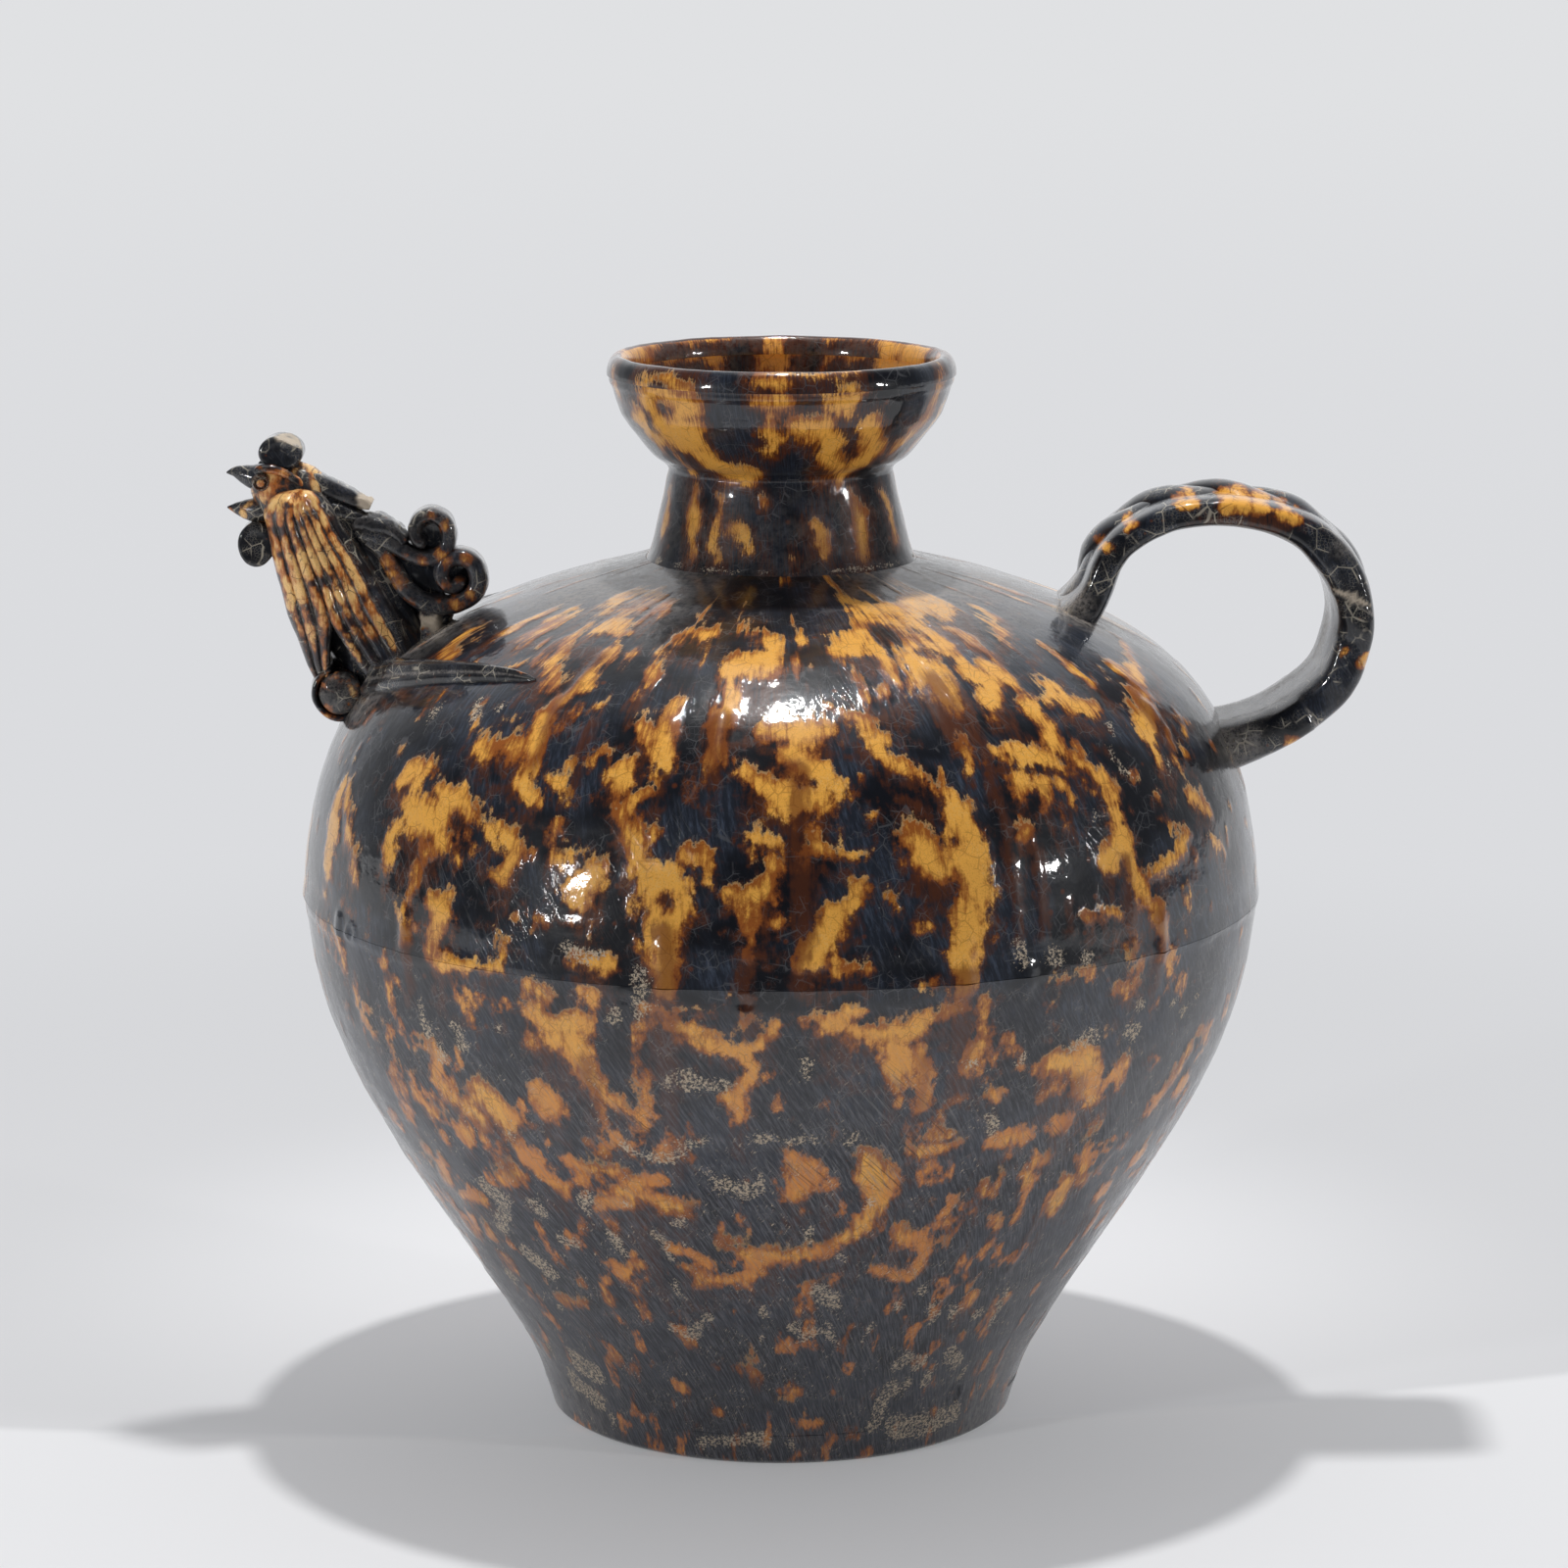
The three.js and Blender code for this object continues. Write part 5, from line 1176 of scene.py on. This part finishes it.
def build_eye(name, side, glaze):
    """A round pellet in a raised ring, turned about Y."""
    (x, z), = from_head([EYE])
    line = catmull(EYE_PROFILE, 44)
    across, up = section(32)
    rings = np.stack([x + line[:, :1] * across, side * (EYE_OUT + line[:, 1:] * np.ones(32)),
                      z + line[:, :1] * up], axis=2)

    def facts(points):
        out = np.hypot(points[:, 0] - x, points[:, 2] - z)
        splash = 1.6 - 3.4 * smooth(0.9, 1.3, out) + 1.4 * smooth(2.0, 2.4, out)
        return {"splash": splash, "brown": out * 0 + 1, "run": out * 0 + OUTSIDE}

    return loft(f"eye_pellet_{name}", rings, glaze, facts, (0.05, 2.0))


def bolster(place, width, height, depth, hollow=0.35):
    """A short roll of clay across the bird, its ends a little dished; its place is from the head's centre."""
    (x, z), = from_head([place])
    stations = [(0.18, depth / 2 - hollow), (0.62, depth / 2 - hollow), (0.84, depth / 2 + 0.02),
                (0.95, depth / 2 - 0.35), (1.0, depth / 2 - 1.4)]
    middle = [(1.0, y) for y in np.linspace(-depth / 2 + 2, depth / 2 - 2, 8)]
    stations = [(r, -y) for r, y in stations] + middle + stations[::-1]
    across, up = section(56)
    return np.stack([np.stack([x + width / 2 * r * across, np.full(56, y), z + height / 2 * r * up], axis=1)
                     for r, y in stations])


COMB = (-1.6, 11.7)
WATTLE = (-8.8, -13.9)
CREST_PATH = [(4.6, 4.4), (10.5, 1.9), (16, -0.5), (22.9, -3.5)]
CREST_END_RINGS = 8
LEAF_PATH = [(9, -3.0), (13, -4.4), (17.4, -5.6), (21, -6.4), (24.2, -6.7)]


def build_rolls(glaze):
    x, z = head_centre()
    comb = bolster(COMB, 12.4, 9.6, 11)

    def break_height(points):
        ragged = 0.9 * noise(points, 2.4, 91, 3)
        return z + 17.9 - 0.40 * np.clip(points[:, 0] - (x - 4.6), 0, 20) + 0.22 * points[:, 1] + ragged

    flat = comb.reshape(-1, 3)
    line = break_height(flat)
    over = flat[:, 2] - line
    flat[:, 2] = np.where(over > 0, line + 0.15 * over, flat[:, 2])

    def broken(points):
        return smooth(-0.5, 0.0, points[:, 2] - break_height(points))

    dress("comb_roll", "comb_knob", comb, glaze, mottled(4, 93, -2.4, broken), (0.2, 2.5))
    wattle = bolster(WATTLE, 10.2, 12.5, 12)
    dress("wattle_roll_glazed", "wattle_roll", wattle, glaze, mottled(4, 95, -2.4), (0.2, 2.5))

    crest = sweep(from_head(CREST_PATH), 46, 36, [5.4, 5, 4.6, 3.8], [3.1, 2.9, 2.5, 1.3], 0.55)
    end = crest[-CREST_END_RINGS:]
    end += (0.8 * noise(end.reshape(-1, 3), 1.8, 97, 3)).reshape(end.shape[:2])[:, :, None] * (0.7, 0.3, 1.0)

    def snapped(points):
        return smooth(18.8, 20.4, points[:, 0] - x + 1.2 * noise(points, 2, 99, 2))

    dress("crest_bar_glazed", "crest_bar", crest, glaze, mottled(5, 101, -2.3, snapped, dust=0.1), (0.3, 3.0))
    leaf = sweep(from_head(LEAF_PATH), 40, 28, [6.4, 6.3, 6, 5.4, 3], [2.6, 3.0, 2.6, 1.6, 0.5], 0.75,
                 (0.0, 1.0))
    dress("crest_leaf", "crest_strip", leaf, glaze, mottled(4, 103, -2.2), (0.3, 2.5))


UPPER_SCROLL = [(20.5, -10.4), (24, -12.2), (28.1, -13.4), (32.4, -16), (36.6, -17.7), (40.6, -17.6),
                (43.6, -15.3), (44.6, -11.6), (43.4, -7.6), (39.9, -5.7), (36.4, -7.1), (35.2, -10.4),
                (36.6, -13.2), (38.9, -13.4)]
LOWER_SCROLL = [(22.5, -12.5), (26.2, -15.9), (29.3, -21.3), (32.4, -26.5), (36.8, -30), (41.8, -31.2),
                (46.8, -30.4), (51.2, -27.9), (52.8, -23.8), (51.6, -19.7), (48.6, -17.7), (45, -18),
                (42.8, -20.4), (42.7, -23.6), (44.6, -25.9), (47, -25.4), (47.8, -23)]
SCROLL_ROOT = [(17.5, -7.4), (22, -8.3), (26.5, -9.2), (30.5, -11.6), (33, -14.4)]
SCROLL_WEB = [(26.5, -16), (31.5, -20.2), (36, -23.8), (40, -25.8), (43.6, -27)]
SCROLL_HEEL = [(31, -27), (35.5, -31.5), (39, -36), (42, -41)]
SCROLL_CORES = (("upper", (39.7, -11.8)), ("lower", (46.8, -23.0)))
# Amber spots on the scrolls: x and z from the head's centre, and radius
UPPER_SPOTS = [(42.6, -16.6, 2.0), (43.9, -8.6, 1.3), (40.3, -5.6, 1.0), (37.4, -18.4, 1.1)]
LOWER_SPOTS = [(27.6, -18.6, 2.2), (29.3, -21.8, 2.4), (30.6, -24.4, 1.8), (48, -22.8, 1.3),
               (46.4, -30.4, 1.8), (49.4, -17.6, 1.5), (44.4, -18.4, 1.3), (43.6, -25.2, 1.2),
               (50.6, -27.6, 1.2)]
WEB_ASIDE = 2.4
CORE_ASIDE = 2.6
CORE_SIZE = 8.6


def build_scrolls(glaze):
    upper = sweep(from_head(UPPER_SCROLL), 170, 40, 6.2, [2.8, 2.6, 2.4, 2.3, 2.2, 2.0], 0.6, (0, 1.5))
    look = mottled(4, 111, -1.9, spots=from_head(UPPER_SPOTS), dust=0.1)
    dress("scroll_upper_glazed", "scroll_upper", upper, glaze, look, (0.3, 4.0))
    root = sweep(from_head(SCROLL_ROOT), 50, 36, 6.0, [2.6, 3.2, 3.4, 2.6, 1.4], 0.8, (1.5, 1.5))
    dress("scroll_root_crumpled", "scroll_upper", root, glaze, mottled(5, 112, -2.4, dust=0.1), (0.8, 3.6))
    lower = sweep(from_head(LOWER_SCROLL), 200, 40, 6.2, [2.6, 2.6, 2.9, 2.8, 2.4, 2.1], 0.6, (0, 1.5))
    look = mottled(4, 113, -1.4, spots=from_head(LOWER_SPOTS), dust=0.1)
    dress("scroll_lower_glazed", "scroll_lower", lower, glaze, look, (0.3, 4.0))
    for name, path, sizes, seed in (("web", SCROLL_WEB, [1.6, 3.8, 5.4, 5.4, 4.4], 114),
                                    ("heel", SCROLL_HEEL, [2.5, 3.8, 4.0, 3.0], 119)):
        filler = sweep(from_head(path), 40, 28, 2.2, sizes, 0.9, (1.0, 1.0))
        filler[:, :, 1] += WEB_ASIDE
        dress(f"scroll_{name}", "scroll_lower", filler, glaze, mottled(4, seed, -2.6), (0.3, 3.0))
    for name, place in SCROLL_CORES:
        core = bolster(place, CORE_SIZE, CORE_SIZE, 4.0)
        core[:, :, 1] += CORE_ASIDE
        dress(f"scroll_core_{name}", f"scroll_{name}", core, glaze, mottled(4, 116, -2.8), (0.3, 3.0))

    low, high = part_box("scroll_stub")
    x, z = (low.x + high.x) / 2 / MM, (low.z + high.z) / 2 / MM
    post = sweep([(x + 1, low.z / MM - 1), (x + 2, z), (x + 3, high.z / MM + 1.2)], 30, 36, [6.4, 4.6, 5.6],
                 [6.4, 4.4, 5.4])

    def bare(points):
        return smooth(-0.35, 0.1, noise(points, 3, 115, 3))

    dress("scroll_post", "scroll_stub", post, glaze, mottled(4, 117, -1, bare), (1.5, 2.6))


BREAST = (14.5, -54.7)
BREAST_RADIUS = 7.2


def build_breast(glaze):
    (x, z), = from_head([BREAST])
    angles = np.radians(np.linspace(104, 322, 16))
    arc = [(x + BREAST_RADIUS * math.cos(a), z + BREAST_RADIUS * math.sin(a)) for a in angles]
    roll = sweep(arc, 70, 32, 12.0, 1.35, 0.7, (1.2, 1.2))
    dress("breast_coil", "breast_roll", roll, glaze, mottled(4, 121, -0.9), (0.3, 4.0))
    ball = bolster(BREAST, 12.0, 12.0, 24.6, -0.9)
    dress("breast_core", "breast_ball", ball, glaze, mottled(2.2, 123, -0.1, dust=0.25), (0.45, 2.6))


WING_STATIONS = 70
WING_SIDES = 64
WING_DEGREES = (173, 131)
WING_HALF = 7.5
WING_RISE = 9.5


def shoulder_at(height):
    _, upper = jar_outline()
    return np.interp(height, upper[:, 1], upper[:, 0])


def build_wings(glaze):
    """Three feather ridges lying round the shoulder from the foot of the spout."""
    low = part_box("wing_near")[0].z / MM
    share = np.linspace(0, 1, WING_STATIONS)
    turn = np.radians(WING_DEGREES[0] + (WING_DEGREES[1] - WING_DEGREES[0]) * share)
    height = low + 5.3 + WING_RISE * np.sin(share * math.pi / 2)
    radius = shoulder_at(height)
    slope = (shoulder_at(height + 0.5) - radius) / 0.5
    taper = np.sqrt(np.clip(1 - share ** 6, 0.02, 1))
    half = (WING_HALF - 5.0 * share ** 0.7) * taper
    angle = np.linspace(0, math.tau, WING_SIDES, endpoint=False)
    upper = np.clip(np.sin(angle), 0, 1)
    ridges = 0.5 * (1 + np.cos(5.5 * np.cos(angle))) * upper ** 0.6
    up = (3.5 * taper[:, None]) * np.sin(angle) + (1 - 0.6 * share[:, None]) * (ridges - 0.5) * 1.5 * upper
    groove = np.concatenate([np.tile((1 - ridges) * upper, WING_STATIONS), [0, 0]])
    tip = np.concatenate([np.repeat(smooth(0.8, 0.95, share), WING_SIDES), [0, 1]])

    def facts(points):
        made = mottled(4, 131, -1.9)(points)
        made["splash"] = made["splash"] + 1.9 * tip
        made["dust"] = 0.05 + 0.75 * smooth(0.7, 0.95, groove)
        made["crust"] = -2.4 + 2.6 * smooth(0.75, 1.0, groove) + 1.5 * noise(points, 6, 133, 2)
        return made

    for name, side in SIDES:
        at = np.stack([radius * np.cos(turn), side * radius * np.sin(turn), height], axis=1)
        outward = unit(np.stack([np.cos(turn), side * np.sin(turn), -slope], axis=1))
        across = unit(np.cross(np.gradient(at, axis=0), outward))
        rings = at[:, None, :] + across[:, None, :] * (half[:, None] * np.cos(angle))[:, :, None] \
            + outward[:, None, :] * up[:, :, None]
        dress(f"wing_ridges_{name}", f"wing_{name}", rings, glaze, facts, (0.2, 4.0))


# Light, floor and camera, in metres

BACKDROP = srgb(224, 225, 227)
FLOOR_RINGS = (0.3, 0.6, 1.0, 2.0, 4.0, 8.0)
FLOOR_SIDES = 96
FLOOR_LEVEL = -0.0001
LIGHT_AIM = Vector((0, 0, 0.14))
# Name, place, width and power of each lamp
LIGHTS = (("key", (0.0, 0.15, 1.4), 0.07, 11.0), ("left_side", (-1.30, -1.10, 0.46), 0.12, 6.5),
          ("right_side", (1.62, -0.66, 0.48), 0.12, 5.0))


def build_world():
    """Pale round the object and dim in front of it; what sees the background sees the backdrop's own tone."""
    world = bpy.data.worlds.new("studio")
    bpy.context.scene.world = world
    t = Tree(world)
    way = t.axes(t.place("Generated"))
    room = t.blend(t.step(way[1], -0.75, 0.45), (0.15, 0.155, 0.165), (0.60, 0.61, 0.63))
    above = t.rest(t.times(t.step(way[2], 0.55, 0.9), 0.5))
    beside = t.step(t.math("ABSOLUTE", way[0]), 0.35, 0.8)
    paper = t.times(t.step(way[1], 0.05, 0.9), above, t.rest(t.times(beside, 0.6)))
    mirrored = t.blend(paper, (0.05, 0.055, 0.07), (0.9, 0.91, 0.93))
    surroundings, reflected, backdrop = (t.node("Background", {"Color": colour, "Strength": 1.0})
                                         for colour in (room, mirrored, BACKDROP))
    rays = t.node("LightPath").outputs
    seen = t.most(rays["Is Camera Ray"], rays["Is Transmission Ray"])
    mixed = t.mix(seen, t.mix(rays["Is Glossy Ray"], surroundings, reflected), backdrop)
    t.node("OutputWorld", {"Surface": mixed.outputs[0]})


def floor_paper():
    """Matte paper with a glow that also lightens its shadow, a painted pool of light round the object, painted
    shade past a curved edge of light at its back, and dim far in front when mirrored.
    """
    material = bpy.data.materials.new("floor_paper")
    t = Tree(material)
    place = t.place()
    where = t.axes(place)
    distance = t.node("VectorMath", {0: place}, operation="LENGTH").outputs["Value"]
    off = t.add(where[0], 0.1)
    painted_shade_behind = t.step(t.add(where[1], 0.04, t.times(off, off, -0.55)), -0.004, 0.004)
    beside = t.node("VectorMath", {0: place, 1: (0, 0.13, 0)}, operation="DISTANCE").outputs["Value"]
    # The paper is painted lighter in a pool round the spot under the key lamp, and painted darker past a
    # curved edge at its back, as where a lamp's light ends
    apart = t.step(beside, 0.08, 0.26)
    painted_light_paper = t.blend(apart, (0.87, 0.87, 0.88), (0.82, 0.82, 0.83))
    painted_light_paper = t.blend(t.times(painted_shade_behind, apart, 0.187), painted_light_paper, (0, 0, 0))
    rays = t.node("LightPath").outputs
    room = t.times(t.step(where[1], -0.35, -1.0), rays["Is Glossy Ray"])
    paper = t.node("BsdfDiffuse", {"Color": t.blend(room, painted_light_paper, (0.10, 0.105, 0.12))})
    # The glow is painted brighter in front of that curved edge and dimmer past it
    tone = t.blend(painted_shade_behind, srgb(231, 232, 234), srgb(219, 220, 223))
    tone = t.blend(t.step(distance, 0.9, 6.0), tone, BACKDROP)
    glow = t.node("Emission", {"Color": t.blend(room, tone, (0.08, 0.085, 0.10)), "Strength": 1.0})
    seen = t.most(rays["Is Camera Ray"], rays["Is Transmission Ray"], rays["Is Glossy Ray"])
    share = t.add(0.25, t.times(painted_shade_behind, 0.08), t.times(t.step(distance, 0.30, 0.80), 0.67))
    t.node("OutputMaterial", {"Surface": t.mix(t.times(share, seen), paper, glow).outputs[0]})
    return material


def linked(name, data):
    thing = bpy.data.objects.new(name, data)
    bpy.context.scene.collection.objects.link(thing)
    return thing


def build_floor():
    angles = [k * math.tau / FLOOR_SIDES for k in range(FLOOR_SIDES)]
    points = [(r * math.cos(a), r * math.sin(a), FLOOR_LEVEL) for r in FLOOR_RINGS for a in angles]
    mesh = bpy.data.meshes.new("floor")
    mesh.from_pydata(points, [], [tuple(range(FLOOR_SIDES)), *grid_faces(len(FLOOR_RINGS), FLOOR_SIDES)])
    mesh.materials.append(floor_paper())
    linked("floor", mesh)


def build_lights():
    for name, place, size, power in LIGHTS:
        light = bpy.data.lights.new(name, "AREA")
        light.shape = "DISK"
        light.size = size
        light.energy = power
        lamp = linked(name, light)
        lamp.location = place
        lamp.rotation_euler = (LIGHT_AIM - Vector(place)).to_track_quat("-Z", "Y").to_euler()


def build_camera():
    camera = bpy.data.cameras.new("camera")
    camera.lens = CAMERA_LENS
    camera.sensor_width = SENSOR
    holder = linked("camera", camera)
    holder.location = (CAMERA_SIDE * MM, -CAMERA_DISTANCE * MM, CAMERA_HEIGHT * MM)
    holder.rotation_euler = (math.radians(90 - CAMERA_PITCH), 0, 0)
    bpy.context.scene.camera = holder


def main():
    bpy.context.scene.view_settings.view_transform = "Standard"
    build_camera()
    build_world()
    build_floor()
    build_lights()
    glaze = glaze_material("tortoiseshell_glaze")
    fine_glaze = glaze_material("modelled_glaze", False, 2.2, 0.85, 0.5, 0.5, (HONEY_DEEP, HONEY),
                                MODELLED_CELLS, CRACK_PALE, 0.2)
    strap_glaze = glaze_material("modelled_glaze_deep", False, 1.8, 0.75, 0.45, 0.6, (AMBER_DEEP, AMBER),
                                 MODELLED_CELLS, CRACK_PALE, 0.2)
    build_jar(glaze)
    build_mouth(glaze)
    build_handle(strap_glaze)
    build_feathers(fine_glaze)
    build_head(fine_glaze)
    build_rolls(fine_glaze)
    build_scrolls(strap_glaze)
    build_breast(fine_glaze)
    build_wings(fine_glaze)


main()
